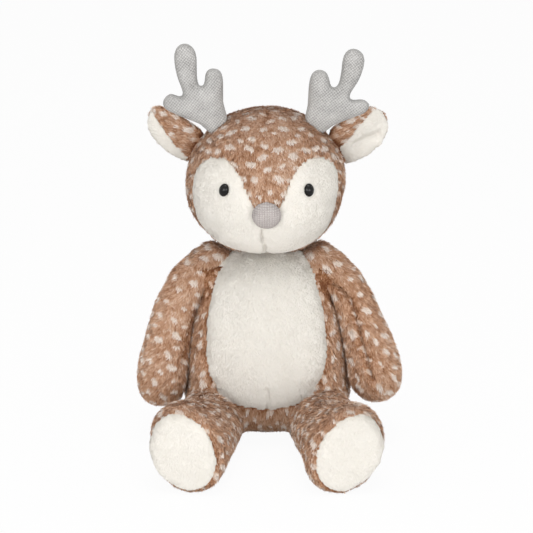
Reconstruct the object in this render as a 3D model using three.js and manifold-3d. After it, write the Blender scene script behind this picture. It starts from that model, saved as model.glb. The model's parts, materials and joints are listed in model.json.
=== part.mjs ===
// Sitting plush deer: a stuffed torso with a head, two arms and two legs that move at their seams.
// Millimetres, +Z up, the toy faces -Y. The origin is the middle of the bounding box's underside.

import * as THREE from 'three';
import { mergeVertices } from 'three/addons/utils/BufferGeometryUtils.js';
import Module from 'manifold-3d';

const wasm = await Module();
wasm.setup();

// Cloth and fits
const CLEARANCE = 0.3;
const SWING_CLEARANCE = 0.7;
const PANEL_THICKNESS = 2.5;
const PANEL_FORWARD = 10;
const WELD = 0.001;
const REACH = 400;

// Torso
const TORSO_HALF_WIDTH = 76;
const TORSO_HEIGHT = 178;
const TORSO_FRONT = 57;
const TORSO_BACK = 56;
const BELLY_HALF_WIDTH = 54.5;
const BELLY_BOTTOM = 36;
const BELLY_TOP = 174;

// Seat panel and the pellet bag above it
const SEAT_HALF_WIDTH = 38;
const SEAT_HALF_DEPTH = 14.5;
const SEAT_BEHIND = 28;
const SEAT_THICKNESS = 3;
const BAG_HALF_WIDTH = 33;
const BAG_HALF_DEPTH = 12;
const BAG_HEIGHT = 20;

// Head
const HEAD_HALF_WIDTH = 71;
const HEAD_BOTTOM = 171;
const HEAD_HEIGHT = 127;
const HEAD_FRONT = 65;
const HEAD_BACK = 60;
const CHEEK_CENTRE_HEIGHT = 221;
const CHEEK_SPAN = 66;

// Nose
const NOSE_HALF_WIDTH = 13;
const NOSE_HALF_HEIGHT = 11.8;
const NOSE_HALF_DEPTH = 11;
const NOSE_HEIGHT = 219;
const NOSE_FORWARD = 66;

// Eyes and the washers that hold them
const EYE_HALF_WIDTH = 4.8;
const EYE_HALF_HEIGHT = 6;
const EYE_DOME = 4;
const EYE_ASIDE = 35.8;
const EYE_ABOVE_CHEEK = 17;
const SHANK_RADIUS = 2;
const SHANK_LENGTH = 11;
const WASHER_RADIUS = 6.5;
const WASHER_THICKNESS = 2;
const WASHER_DEPTH = 6.5;

// Antlers
const ANTLER_HEIGHT = 69;
const ANTLER_THICKNESS = 16;
const ANTLER_ROUNDING = 7.5;
const ANTLER_EDGE = 5;
const ANTLER_ASIDE = 42;
const ANTLER_BASE_HEIGHT = 283;
const ANTLER_BEHIND = -4;

// Ears
const EAR_LENGTH = 54;
const EAR_HALF_WIDTH = 21.5;
const EAR_HALF_THICKNESS = 5.5;
const EAR_ASIDE = 61;
const EAR_BASE_HEIGHT = 259;
const EAR_BEHIND = 17;
const EAR_ROOT_RADIUS = 4.5;
const EAR_ROOT_HALF_LENGTH = 15;

// Arms
const ARM_RADIUS = 23.5;
const SHOULDER_ASIDE = 54;
const SHOULDER_BELOW_TOP = 25;
const SHOULDER_BALL = 19.3;
const HAND_FORWARD = 30;
const LEFT_HAND_ASIDE = 102;
const LEFT_HAND_HEIGHT = 40;
const RIGHT_HAND_ASIDE = 95;
const RIGHT_HAND_HEIGHT = 36;

// Legs and soles
const LEG_HALF_WIDTH = 31;
const LEG_HALF_HEIGHT = 39.5;
const HIP_ASIDE = 44;
const HIP_FORWARD = 30;
const HIP_HEIGHT = 31;
const HIP_BALL = 27.5;
const SOLE_ASIDE = 69;
const SOLE_OUTWARD = 2;
const SOLE_WRAP = 14;
const SOLE_FORWARD = 154;
const SOLE_HALF_WIDTH = 28.5;
const SOLE_HALF_HEIGHT = 35.5;
const SOLE_HEIGHT = 36;
const FLOOR_CUT = 0.5;

// Neck, the middle of the nod
const NECK_HEIGHT = 135;
const NECK_BEHIND = 3;

// Degrees: how the legs lie, and how far each seam lets its piece swing
const NOD_SWINGS = [-8, 1, 10];
const ARM_SWINGS = [-10, 0, 15, 30, 45, 60];
const LEG_SWINGS = [0, 10, 20];
const EAR_SWINGS = [-20, 0, 20];
const LEFT_LEG_ROLL = -30;
const RIGHT_LEG_ROLL = -20;

// Rows of a form from bottom to top: height, half width, reach to the front, reach to the back
const torsoShares = [
  [0, 0.62, -0.2, 0.8],
  [0.025, 0.78, 0.08, 0.92],
  [0.07, 0.9, 0.54, 0.98],
  [0.14, 0.97, 0.83, 1],
  [0.24, 1, 0.98, 1],
  [0.375, 0.985, 1.02, 0.98],
  [0.515, 0.93, 1, 0.93],
  [0.645, 0.86, 0.94, 0.87],
  [0.755, 0.77, 0.87, 0.8],
  [0.843, 0.67, 0.78, 0.77],
  [0.9, 0.57, 0.69, 0.68],
  [0.944, 0.445, 0.57, 0.545],
  [0.9775, 0.295, 0.38, 0.38],
  [0.9945, 0.15, 0.17, 0.22],
  [1, 0.05, 0.02, 0.09],
];
const headShares = [
  [0, 0.34, 0.3, 0.3],
  [0.035, 0.5, 0.48, 0.42],
  [0.08, 0.615, 0.67, 0.55],
  [0.15, 0.755, 0.84, 0.7],
  [0.24, 0.875, 0.955, 0.83],
  [0.34, 0.96, 1, 0.93],
  [0.46, 1, 0.985, 1],
  [0.58, 0.975, 0.92, 1.02],
  [0.7, 0.895, 0.81, 0.97],
  [0.8, 0.78, 0.67, 0.85],
  [0.88, 0.635, 0.52, 0.69],
  [0.94, 0.47, 0.37, 0.52],
  [0.98, 0.29, 0.23, 0.33],
  [1, 0.12, 0.1, 0.14],
];

// Rows of an arm from shoulder to hand: place on the way, half width
const armShares = [
  [0, 0.6],
  [0.05, 0.82],
  [0.14, 0.92],
  [0.3, 0.9],
  [0.5, 0.91],
  [0.68, 0.98],
  [0.82, 1],
  [0.91, 0.88],
  [0.97, 0.62],
  [1, 0.28],
];

// Rows of a leg from hip to sole: place on the way, half width, half height
const legShares = [
  [0, 0.6, 0.5],
  [0.05, 0.84, 0.68],
  [0.14, 0.92, 0.745],
  [0.35, 0.93, 0.76],
  [0.58, 0.95, 0.82],
  [0.76, 0.99, 0.95],
  [0.86, 1, 1],
  [0.935, 0.985, 0.97],
  [0.98, 0.935, 0.9],
  [1, 0.84, 0.815],
];

// Rows of an ear from root to tip: place on the way, half width, half thickness, cup, roll
const earShares = [
  [0, 0.96, 0.85, 0, 0],
  [0.07, 1, 1, 0.08, 0.03],
  [0.3, 1.04, 1, 0.26, 0.25],
  [0.5, 1.02, 0.95, 0.3, 0.5],
  [0.7, 0.94, 0.88, 0.26, 0.75],
  [0.84, 0.78, 0.78, 0.18, 0.9],
  [0.94, 0.54, 0.64, 0.08, 1],
  [1, 0.26, 0.4, 0, 1],
];

// Outlines as shares of a span, counterclockwise as the toy's left or middle is drawn
const bellyOutlineShares = [
  [0.1, 0],
  [0.42, 0.03],
  [0.72, 0.1],
  [0.92, 0.21],
  [1, 0.36],
  [0.985, 0.54],
  [0.915, 0.7],
  [0.8, 0.83],
  [0.67, 0.93],
  [0.59, 1],
];
const cheekOutlineShares = [
  [0, -0.72],
  [0.3, -0.7],
  [0.6, -0.62],
  [0.8, -0.45],
  [0.92, -0.26],
  [0.985, -0.04],
  [1, 0.16],
  [0.97, 0.36],
  [0.89, 0.52],
  [0.75, 0.62],
  [0.58, 0.64],
  [0.44, 0.57],
  [0.33, 0.42],
  [0.26, 0.24],
  [0.18, 0.08],
  [0.08, -0.06],
  [0, -0.1],
];
const antlerLeftShares = [
  [0.02, -0.26],
  [0.09, -0.12],
  [0.22, 0.005],
  [0.38, 0.07],
  [0.54, 0.13],
  [0.64, 0.175],
  [0.685, 0.245],
  [0.66, 0.31],
  [0.59, 0.345],
  [0.5, 0.335],
  [0.425, 0.345],
  [0.45, 0.43],
  [0.535, 0.56],
  [0.59, 0.69],
  [0.62, 0.83],
  [0.585, 0.94],
  [0.485, 0.99],
  [0.39, 0.955],
  [0.342, 0.855],
  [0.33, 0.72],
  [0.3, 0.55],
  [0.25, 0.485],
  [0.2, 0.51],
  [0.18, 0.6],
  [0.135, 0.69],
  [0.045, 0.725],
  [-0.04, 0.68],
  [-0.08, 0.57],
  [-0.086, 0.4],
  [-0.09, 0.25],
  [-0.13, 0.12],
  [-0.2, -0.16],
];
const antlerRightShares = [
  [0.02, -0.26],
  [0.09, -0.12],
  [0.217, 0.02],
  [0.38, 0.085],
  [0.53, 0.15],
  [0.65, 0.205],
  [0.7, 0.285],
  [0.67, 0.365],
  [0.59, 0.415],
  [0.5, 0.38],
  [0.435, 0.375],
  [0.455, 0.47],
  [0.51, 0.62],
  [0.54, 0.77],
  [0.548, 0.91],
  [0.5, 1.02],
  [0.404, 1.055],
  [0.31, 1.005],
  [0.265, 0.9],
  [0.262, 0.74],
  [0.255, 0.58],
  [0.225, 0.5],
  [0.185, 0.51],
  [0.165, 0.59],
  [0.145, 0.685],
  [0.08, 0.738],
  [-0.02, 0.72],
  [-0.07, 0.63],
  [-0.07, 0.46],
  [-0.068, 0.3],
  [-0.11, 0.15],
  [-0.2, -0.16],
];
const noseShares = [
  [0, 0.12],
  [0.06, 0.475],
  [0.2, 0.8],
  [0.4, 0.98],
  [0.6, 0.98],
  [0.8, 0.8],
  [0.94, 0.475],
  [1, 0.12],
];

const group = new THREE.Group();

// Joining and cutting closed geometries
function toSolid(geometry) {
  const bare = geometry.clone();
  bare.deleteAttribute('normal');
  bare.deleteAttribute('uv');
  const welded = mergeVertices(bare, WELD);
  const mesh = new wasm.Mesh({
    numProp: 3,
    vertProperties: new Float32Array(welded.attributes.position.array),
    triVerts: new Uint32Array(welded.index.array),
  });
  return new wasm.Manifold(mesh);
}

function toGeometry(solid) {
  const mesh = solid.getMesh();
  const geometry = new THREE.BufferGeometry();
  geometry.setAttribute('position', new THREE.BufferAttribute(mesh.vertProperties, 3));
  geometry.setIndex(new THREE.BufferAttribute(mesh.triVerts, 1));
  return geometry;
}

function joined(first, ...others) {
  let solid = toSolid(first);
  for (const other of others) solid = solid.add(toSolid(other));
  return toGeometry(solid);
}

function cut(first, ...others) {
  let solid = toSolid(first);
  for (const other of others) solid = solid.subtract(toSolid(other));
  return toGeometry(solid);
}

function shared(first, second) {
  return toGeometry(toSolid(first).intersect(toSolid(second)));
}

function addPart(name, geometry, colour) {
  geometry.computeVertexNormals();
  const material = new THREE.MeshStandardMaterial({ color: colour, roughness: 0.9 });
  const part = new THREE.Mesh(geometry, material);
  part.name = name;
  group.add(part);
}

// The same piece on the other side of the middle plane, its faces turned back outwards
function mirrored(geometry, side) {
  if (side > 0) return geometry;
  const copy = geometry.clone();
  copy.scale(-1, 1, 1);
  const order = copy.index.array;
  for (let start = 0; start < order.length; start += 3) {
    const kept = order[start];
    order[start] = order[start + 1];
    order[start + 1] = kept;
  }
  return copy;
}

// Rows between the rows of a table, on a smooth curve through them
function smoothRows(rows, perRow) {
  const smooth = [];
  const last = rows.length - 1;
  for (let step = 0; step <= last * perRow; step++) {
    const place = step / perRow;
    const start = Math.min(Math.floor(place), last - 1);
    const part = place - start;
    const before = rows[Math.max(start - 1, 0)];
    const from = rows[start];
    const to = rows[start + 1];
    const after = rows[Math.min(start + 2, last)];
    smooth.push(from.map((value, column) => {
      const leave = (to[column] - before[column]) / 2;
      const arrive = (after[column] - value) / 2;
      const gain = to[column] - value;
      const bend = 3 * gain - 2 * leave - arrive;
      const turn = leave + arrive - 2 * gain;
      return value + part * (leave + part * (bend + part * turn));
    }));
  }
  return smooth;
}

// A closed form: rings round a spine, with one point in the middle of each end
function formFromRings(rings, around) {
  const points = [];
  const faces = [];
  for (const ring of rings) {
    for (let step = 0; step < around; step++) {
      const angle = (step / around) * 2 * Math.PI;
      const side = Math.cos(angle);
      const rise = Math.sin(angle);
      const lift = rise > 0 ? ring.up : ring.down;
      const point = ring.centre.clone();
      point.addScaledVector(ring.across, side);
      point.addScaledVector(lift, Math.abs(rise));
      point.addScaledVector(ring.bow, side * side);
      points.push(point.x, point.y, point.z);
    }
  }
  for (let row = 0; row < rings.length - 1; row++) {
    for (let step = 0; step < around; step++) {
      const next = (step + 1) % around;
      const low = row * around;
      const high = low + around;
      faces.push(low + step, low + next, high + next);
      faces.push(low + step, high + next, high + step);
    }
  }
  const first = rings[0].centre;
  const end = rings[rings.length - 1].centre;
  const bottom = points.length / 3;
  points.push(first.x, first.y, first.z);
  const top = points.length / 3;
  points.push(end.x, end.y, end.z);
  const lastRow = (rings.length - 1) * around;
  for (let step = 0; step < around; step++) {
    const next = (step + 1) % around;
    faces.push(bottom, next, step);
    faces.push(top, lastRow + step, lastRow + next);
  }
  const geometry = new THREE.BufferGeometry();
  geometry.setAttribute('position', new THREE.Float32BufferAttribute(points, 3));
  geometry.setIndex(faces);
  return geometry;
}

// An upright form from a table of height, half width, front and back
function uprightForm(rows, size, grow, around) {
  const rings = rows.map(([height, wide, front, back]) => {
    const behind = size.back * back;
    const ahead = size.front * front;
    const half = (behind + ahead) / 2 + grow;
    return {
      centre: new THREE.Vector3(0, (behind - ahead) / 2, size.bottom + size.height * height),
      across: new THREE.Vector3(size.halfWidth * wide + grow, 0, 0),
      up: new THREE.Vector3(0, half, 0),
      down: new THREE.Vector3(0, -half, 0),
      bow: new THREE.Vector3(),
    };
  });
  rings[0].centre.z -= grow;
  rings[rings.length - 1].centre.z += grow;
  return formFromRings(rings, around);
}

// Turned pieces
function turned(profile, steps) {
  const points = profile.map(([radius, height]) => new THREE.Vector2(radius, height));
  const geometry = new THREE.LatheGeometry(points, steps);
  geometry.rotateX(Math.PI / 2);
  return geometry;
}

// Flat outlines, as points that a table gives in shares
function outlinePoints(shares, spanX, spanY) {
  return shares.map(([x, y]) => new THREE.Vector2(x * spanX, y * spanY));
}

function outset(points, distance) {
  return points.map((point, index) => {
    const before = points[(index + points.length - 1) % points.length];
    const after = points[(index + 1) % points.length];
    const along = after.clone().sub(before).normalize();
    return new THREE.Vector2(point.x + along.y * distance, point.y - along.x * distance);
  });
}

function prism(points, depth) {
  const shape = new THREE.Shape(points);
  return new THREE.ExtrudeGeometry(shape, { depth, bevelEnabled: false, steps: 1 });
}

// An outline drawn on the toy's front, carried back to a plane behind it
function frontPrism(points, forward) {
  return prism(points, REACH).rotateX(Math.PI / 2).translate(0, -forward, 0);
}

function swung(geometry, centre, axis, degrees) {
  const back = new THREE.Matrix4().makeTranslation(-centre.x, -centre.y, -centre.z);
  const turn = new THREE.Matrix4().makeRotationAxis(axis, THREE.MathUtils.degToRad(degrees));
  const out = new THREE.Matrix4().makeTranslation(centre.x, centre.y, centre.z);
  return geometry.clone().applyMatrix4(out.multiply(turn).multiply(back));
}

// A ball whose poles lie sideways, on the axis that its limb turns about
function ball(radius, centre, steps) {
  const geometry = new THREE.SphereGeometry(radius, steps, Math.round(steps * 0.6));
  return geometry.rotateZ(Math.PI / 2).translate(centre.x, centre.y, centre.z);
}

// Torso
const torsoSize = {
  bottom: 0,
  height: TORSO_HEIGHT,
  halfWidth: TORSO_HALF_WIDTH,
  front: TORSO_FRONT,
  back: TORSO_BACK,
};

function torsoForm(grow) {
  return uprightForm(torsoShares, torsoSize, grow, 26);
}

const torsoOuter = torsoForm(0);
const torsoGrown = torsoForm(SWING_CLEARANCE);

// What a swinging piece must stay out of: its neighbour at each of the swings, seen from the piece
const SIDEWAYS = new THREE.Vector3(1, 0, 0);

function keepOut(neighbour, centre, axis, swings) {
  return joined(...swings.map((degrees) => swung(neighbour, centre, axis, degrees)));
}

// Belly panel, set into the torso's front
const bellyHalf = outlinePoints(bellyOutlineShares, BELLY_HALF_WIDTH, BELLY_TOP - BELLY_BOTTOM);
const bellyRight = bellyHalf.map((point) => new THREE.Vector2(point.x, point.y + BELLY_BOTTOM));
const bellyLeft = bellyRight.map((point) => new THREE.Vector2(-point.x, point.y)).reverse();
const bellyOutline = bellyRight.concat(bellyLeft);
const bellyPanel = cut(
  shared(frontPrism(bellyOutline, PANEL_FORWARD), torsoOuter),
  torsoForm(-PANEL_THICKNESS),
);
const bellyPocket = cut(
  frontPrism(outset(bellyOutline, CLEARANCE), PANEL_FORWARD - CLEARANCE),
  torsoForm(-PANEL_THICKNESS - CLEARANCE),
);

// Seat panel and pellet bag
function seatPlate(grow) {
  const plate = turned([
    [0, -grow],
    [1, -grow],
    [1, SEAT_THICKNESS + grow],
    [0, SEAT_THICKNESS + grow],
  ], 28);
  return plate
    .scale(SEAT_HALF_WIDTH + grow, SEAT_HALF_DEPTH + grow, 1)
    .translate(0, SEAT_BEHIND, 0);
}

const bagFloor = SEAT_THICKNESS + CLEARANCE;
const bagShares = [
  [0, 0],
  [0.8, 0],
  [0.95, 0.12],
  [1, 0.36],
  [0.93, 0.64],
  [0.72, 0.87],
  [0.4, 0.98],
  [0, 1],
];
const bagProfile = bagShares.map(([out, high]) => [out, high * BAG_HEIGHT]);
const pelletBag = turned(bagProfile, 24)
  .scale(BAG_HALF_WIDTH, BAG_HALF_DEPTH, 1)
  .translate(0, SEAT_BEHIND, bagFloor);
const bagRoomProfile = bagShares
  .map(([out, high]) => [high < 0.3 ? Math.ceil(out) : out, high * BAG_HEIGHT]);
const bagRoom = turned(bagRoomProfile, 24)
  .scale(BAG_HALF_WIDTH + 2 * CLEARANCE, BAG_HALF_DEPTH + 2 * CLEARANCE, 1)
  .translate(0, SEAT_BEHIND, bagFloor + CLEARANCE);
const bagDoor = turned([[0, 0], [1, 0], [1, BAG_HEIGHT / 2], [0, BAG_HEIGHT / 2]], 24)
  .scale(BAG_HALF_WIDTH + 2 * CLEARANCE, BAG_HALF_DEPTH + 2 * CLEARANCE, 1)
  .translate(0, SEAT_BEHIND, 0);

// Head, with the hollow that rides on the neck
const headSize = {
  bottom: HEAD_BOTTOM,
  height: HEAD_HEIGHT,
  halfWidth: HEAD_HALF_WIDTH,
  front: HEAD_FRONT,
  back: HEAD_BACK,
};

function headForm(grow) {
  return uprightForm(headShares, headSize, grow, 26);
}

const neck = new THREE.Vector3(0, NECK_BEHIND, NECK_HEIGHT);
const neckCut = keepOut(torsoGrown, neck, SIDEWAYS, NOD_SWINGS.map((degrees) => -degrees));
const headOuter = headForm(0);
const headGrown = headForm(CLEARANCE);
const headInner = headForm(-PANEL_THICKNESS);
const headDeeper = headForm(-PANEL_THICKNESS - CLEARANCE);

// Cheek outlines, one on each side of the chin seam
const cheekHalf = outlinePoints(cheekOutlineShares, CHEEK_SPAN, CHEEK_SPAN);
const cheekAtHeight = cheekHalf
  .map((point) => new THREE.Vector2(point.x + CLEARANCE / 2, point.y + CHEEK_CENTRE_HEIGHT));
const cheekPrism = frontPrism(cheekAtHeight, PANEL_FORWARD);
const cheekPocket = cut(
  frontPrism(outset(cheekAtHeight, CLEARANCE), PANEL_FORWARD - CLEARANCE),
  headDeeper,
);
const cheekSkin = cut(shared(cheekPrism, headOuter), headInner, neckCut);

// Eyes: an oval dome on a shank that a washer holds inside the head
function facing(geometry, place, outward) {
  const turn = new THREE.Quaternion().setFromUnitVectors(new THREE.Vector3(0, 0, 1), outward);
  const matrix = new THREE.Matrix4().makeRotationFromQuaternion(turn);
  matrix.setPosition(place);
  return geometry.applyMatrix4(matrix);
}

const eyeHeight = CHEEK_CENTRE_HEIGHT + EYE_ABOVE_CHEEK;
const eyeLevel = (eyeHeight - HEAD_BOTTOM) / HEAD_HEIGHT;
const eyeRow = smoothRows(headShares, 8).find((row) => row[0] >= eyeLevel);
const eyeShare = EYE_ASIDE / (eyeRow[1] * HEAD_HALF_WIDTH);
const eyeForward = eyeRow[2] * HEAD_FRONT * Math.sqrt(1 - eyeShare * eyeShare);
const eyePlace = new THREE.Vector3(EYE_ASIDE, -eyeForward, eyeHeight);
const eyeOutward = new THREE.Vector3(
  eyeShare / (eyeRow[1] * HEAD_HALF_WIDTH),
  -eyeForward / (eyeRow[2] * HEAD_FRONT) ** 2,
  0.12 / HEAD_FRONT,
).normalize();
const domeProfile = [[0, 0]];
for (let step = 0; step <= 6; step++) {
  const angle = (step / 6) * (Math.PI / 2);
  domeProfile.push([Math.cos(angle), EYE_DOME * Math.sin(angle)]);
}
domeProfile[domeProfile.length - 1][0] = 0;
const eyeDome = turned(domeProfile, 16)
  .scale(EYE_HALF_WIDTH, EYE_HALF_HEIGHT, 1)
  .translate(0, 0, CLEARANCE);

function shankTurned(radius, length) {
  return turned([[0, -length], [radius, -length], [radius, EYE_DOME / 2], [0, EYE_DOME / 2]], 12);
}

function washerTurned(inner, outer, low, high) {
  return turned([[inner, low], [outer, low], [outer, high], [inner, high], [inner, low]], 20);
}

const seatDepth = EYE_HALF_WIDTH * EYE_HALF_WIDTH / (2 * HEAD_HALF_WIDTH);
const eyeSocket = turned([
  [0, -seatDepth],
  [1, -seatDepth],
  [1, EYE_DOME],
  [0, EYE_DOME],
], 16).scale(EYE_HALF_WIDTH + CLEARANCE, EYE_HALF_HEIGHT + CLEARANCE, 1);
const eye = facing(
  joined(eyeDome, shankTurned(SHANK_RADIUS, SHANK_LENGTH)),
  eyePlace,
  eyeOutward,
);
const eyeBore = facing(
  joined(eyeSocket, shankTurned(SHANK_RADIUS + CLEARANCE, SHANK_LENGTH + CLEARANCE)),
  eyePlace,
  eyeOutward,
);
const washerBack = -WASHER_DEPTH - WASHER_THICKNESS;
const washer = facing(
  washerTurned(SHANK_RADIUS + CLEARANCE, WASHER_RADIUS, washerBack, -WASHER_DEPTH),
  eyePlace,
  eyeOutward,
);
const washerRoom = facing(
  turned([
    [0, washerBack - CLEARANCE],
    [WASHER_RADIUS + CLEARANCE, washerBack - CLEARANCE],
    [WASHER_RADIUS + CLEARANCE, CLEARANCE - WASHER_DEPTH],
    [0, CLEARANCE - WASHER_DEPTH],
  ], 20),
  eyePlace,
  eyeOutward,
);

// Nose, a woven ball sewn over the point where the face panels meet
function noseBall(grow) {
  const profile = noseShares
    .map(([place, out]) => [out, (2 * place - 1) * (NOSE_HALF_DEPTH + grow)]);
  profile.unshift([0, -NOSE_HALF_DEPTH - grow]);
  profile.push([0, NOSE_HALF_DEPTH + grow]);
  return turned(profile, 18)
    .scale(NOSE_HALF_WIDTH + grow, NOSE_HALF_HEIGHT + grow, 1)
    .rotateX(Math.PI / 2)
    .translate(0, -NOSE_FORWARD, NOSE_HEIGHT);
}

const nose = cut(noseBall(0), headGrown);

// Antlers, cut from two flat layers of woven cloth and stuffed
function makeAntler(shares) {
  const curve = new THREE.SplineCurve(outlinePoints(shares, ANTLER_HEIGHT, ANTLER_HEIGHT));
  const shape = new THREE.Shape(outset(curve.getPoints(44), -ANTLER_EDGE));
  const whole = new THREE.ExtrudeGeometry(shape, {
    depth: ANTLER_THICKNESS - 2 * ANTLER_ROUNDING,
    bevelEnabled: true,
    bevelThickness: ANTLER_ROUNDING,
    bevelSize: ANTLER_EDGE,
    bevelSegments: 2,
    steps: 1,
  });
  const back = ANTLER_BEHIND + ANTLER_THICKNESS / 2 - ANTLER_ROUNDING;
  whole.rotateX(Math.PI / 2).translate(ANTLER_ASIDE, back, ANTLER_BASE_HEIGHT);
  return cut(whole, headGrown);
}

const antlers = { left: makeAntler(antlerLeftShares), right: makeAntler(antlerRightShares) };

// Ears: a cupped leaf that turns about the seam at its root
const earLeft = {
  wideShare: 1.03,
  rise: 30,
  sweep: 16,
  rollStart: 22,
  rollEnd: 14,
  liningAtRoot: -0.05,
  liningAtTip: 0.85,
};
const earRight = {
  wideShare: 0.92,
  rise: 34,
  sweep: 16,
  rollStart: 22,
  rollEnd: 20,
  liningAtRoot: -0.66,
  liningAtTip: 0.15,
};

function makeEar(ear) {
  const root = new THREE.Vector3(EAR_ASIDE, EAR_BEHIND, EAR_BASE_HEIGHT);
  const rise = THREE.MathUtils.degToRad(ear.rise);
  const sweep = THREE.MathUtils.degToRad(ear.sweep);
  const along = new THREE.Vector3(
    Math.cos(rise) * Math.cos(sweep),
    Math.sin(sweep) * Math.cos(rise),
    Math.sin(rise),
  );
  const wideStart = new THREE.Vector3(-Math.sin(rise), 0, Math.cos(rise));
  const rings = smoothRows(earShares, 1).map(([place, wide, thick, cup, twist]) => {
    const roll = THREE.MathUtils.lerp(ear.rollStart, ear.rollEnd, twist);
    const across = wideStart.clone().applyAxisAngle(along, THREE.MathUtils.degToRad(roll));
    const back = new THREE.Vector3().crossVectors(across, along).normalize();
    const half = EAR_HALF_THICKNESS * thick;
    return {
      centre: root.clone().addScaledVector(along, EAR_LENGTH * place),
      across: across.multiplyScalar(EAR_HALF_WIDTH * wide * ear.wideShare),
      up: back.clone().multiplyScalar(-half),
      down: back.clone().multiplyScalar(half),
      bow: back.clone().multiplyScalar(-EAR_HALF_WIDTH * cup),
      back: back.clone(),
    };
  });
  const middle = rings[Math.floor(rings.length / 2)];
  const form = formFromRings(rings, 16);
  const rootRoll = THREE.MathUtils.degToRad(ear.rollStart);
  const seam = wideStart.clone().applyAxisAngle(along, rootRoll).normalize();
  return { root, seam, form, along, rings, middle };
}

function seamRod(ear, grow) {
  const long = EAR_ROOT_HALF_LENGTH + grow;
  const radius = EAR_ROOT_RADIUS + grow;
  const round = radius / 3;
  const rod = turned([
    [0, -long],
    [radius - round, -long],
    [radius, round - long],
    [radius, long - round],
    [radius - round, long],
    [0, long],
  ], 18);
  return facing(rod, ear.root, ear.seam);
}

// The lining is the ear's front skin from its lower edge up to a slanting line
const LINING_LOW_SHARE = -1.2;

function liningColumn(ear, settings, grow) {
  const inner = ear.rings.slice(1, -1);
  return formFromRings(inner.map((ring, index) => {
    const part = index / (inner.length - 1);
    const high = THREE.MathUtils.lerp(settings.liningAtRoot, settings.liningAtTip, part);
    const reach = ring.across.length();
    const half = (high - LINING_LOW_SHARE) / 2;
    const deep = ring.back.clone().multiplyScalar(EAR_HALF_WIDTH);
    return {
      centre: ring.centre.clone().addScaledVector(ring.across, (high + LINING_LOW_SHARE) / 2),
      across: ring.across.clone().multiplyScalar(half + grow / reach),
      up: deep.clone().multiplyScalar(-1),
      down: deep,
      bow: ring.bow.clone(),
    };
  }), 16);
}

function finishEar(settings) {
  const ear = makeEar(settings);
  const inward = ear.middle.back;
  const shell = ear.form.clone().translate(
    inward.x * PANEL_THICKNESS,
    inward.y * PANEL_THICKNESS,
    inward.z * PANEL_THICKNESS,
  );
  const depth = PANEL_THICKNESS + CLEARANCE;
  const floor = ear.form.clone().translate(inward.x * depth, inward.y * depth, inward.z * depth);
  const rod = seamRod(ear, 0);
  const room = seamRod(ear, CLEARANCE);
  const column = liningColumn(ear, settings, 0);
  const pocket = cut(joined(column, liningColumn(ear, settings, CLEARANCE)), floor);
  const away = keepOut(headGrown, ear.root, ear.seam, EAR_SWINGS);
  const body = joined(cut(ear.form, away, pocket), rod);
  const lining = cut(shared(ear.form, column), shell, floor, away, room);
  return { body, lining, room };
}

// Arms
const shoulderHeight = TORSO_HEIGHT - SHOULDER_BELOW_TOP;
const shoulder = new THREE.Vector3(SHOULDER_ASIDE, 0, shoulderHeight);
const armLeftShares = [
  [0, 0, 0],
  [0.26, 0.1, 0.14],
  [0.53, 0.32, 0.36],
  [0.82, 0.68, 0.66],
  [1, 1, 1],
];
const armRightShares = [
  [0, 0, 0],
  [0.36, 0.1, 0.14],
  [0.64, 0.32, 0.36],
  [0.86, 0.68, 0.66],
  [1, 1, 1],
];

const armKeepOut = keepOut(torsoGrown, shoulder, SIDEWAYS, ARM_SWINGS);

function makeArm(shares, handAside, handHeight) {
  const way = new THREE.CatmullRomCurve3(shares.map(([aside, forward, down]) => (
    new THREE.Vector3(
      THREE.MathUtils.lerp(SHOULDER_ASIDE, handAside, aside),
      -HAND_FORWARD * forward,
      THREE.MathUtils.lerp(shoulderHeight, handHeight, down),
    )
  )));
  const rings = armShares.map(([place, wide]) => {
    const tangent = way.getTangentAt(place);
    const across = new THREE.Vector3(0, 1, 0).cross(tangent).normalize();
    const deep = new THREE.Vector3().crossVectors(tangent, across).normalize();
    const half = ARM_RADIUS * wide;
    return {
      centre: way.getPointAt(place),
      across: across.multiplyScalar(half),
      up: deep.clone().multiplyScalar(half),
      down: deep.clone().multiplyScalar(-half),
      bow: new THREE.Vector3(),
    };
  });
  return joined(cut(formFromRings(rings, 18), armKeepOut), ball(SHOULDER_BALL, shoulder, 16));
}

const arms = {
  left: makeArm(armLeftShares, LEFT_HAND_ASIDE, LEFT_HAND_HEIGHT),
  right: makeArm(armRightShares, RIGHT_HAND_ASIDE, RIGHT_HAND_HEIGHT),
};

// Legs: each lies rolled a little outwards on the floor
const hip = new THREE.Vector3(HIP_ASIDE, -HIP_FORWARD, HIP_HEIGHT);
const legAlong = new THREE.Vector3(SOLE_ASIDE - HIP_ASIDE, HIP_FORWARD - SOLE_FORWARD, 0).normalize();
const floorBlock = turned([[0, -REACH], [REACH, -REACH], [REACH, 0], [0, 0]], 8);

function legForm(roll) {
  const turn = THREE.MathUtils.degToRad(roll);
  const aside = new THREE.Vector3(-legAlong.y, legAlong.x, 0).applyAxisAngle(legAlong, turn);
  const upward = new THREE.Vector3(0, 0, 1).applyAxisAngle(legAlong, turn);
  return formFromRings(legShares.map(([place, wide, high]) => {
    const across = LEG_HALF_WIDTH * wide;
    const half = LEG_HALF_HEIGHT * high;
    const lift = Math.hypot(across * Math.sin(turn), half * Math.cos(turn));
    return {
      centre: new THREE.Vector3(
        THREE.MathUtils.lerp(HIP_ASIDE, SOLE_ASIDE, place),
        -THREE.MathUtils.lerp(HIP_FORWARD, SOLE_FORWARD, place),
        lift - FLOOR_CUT,
      ),
      across: aside.clone().multiplyScalar(across),
      up: upward.clone().multiplyScalar(half),
      down: upward.clone().multiplyScalar(-half),
      bow: new THREE.Vector3(),
    };
  }), 20);
}

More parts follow.
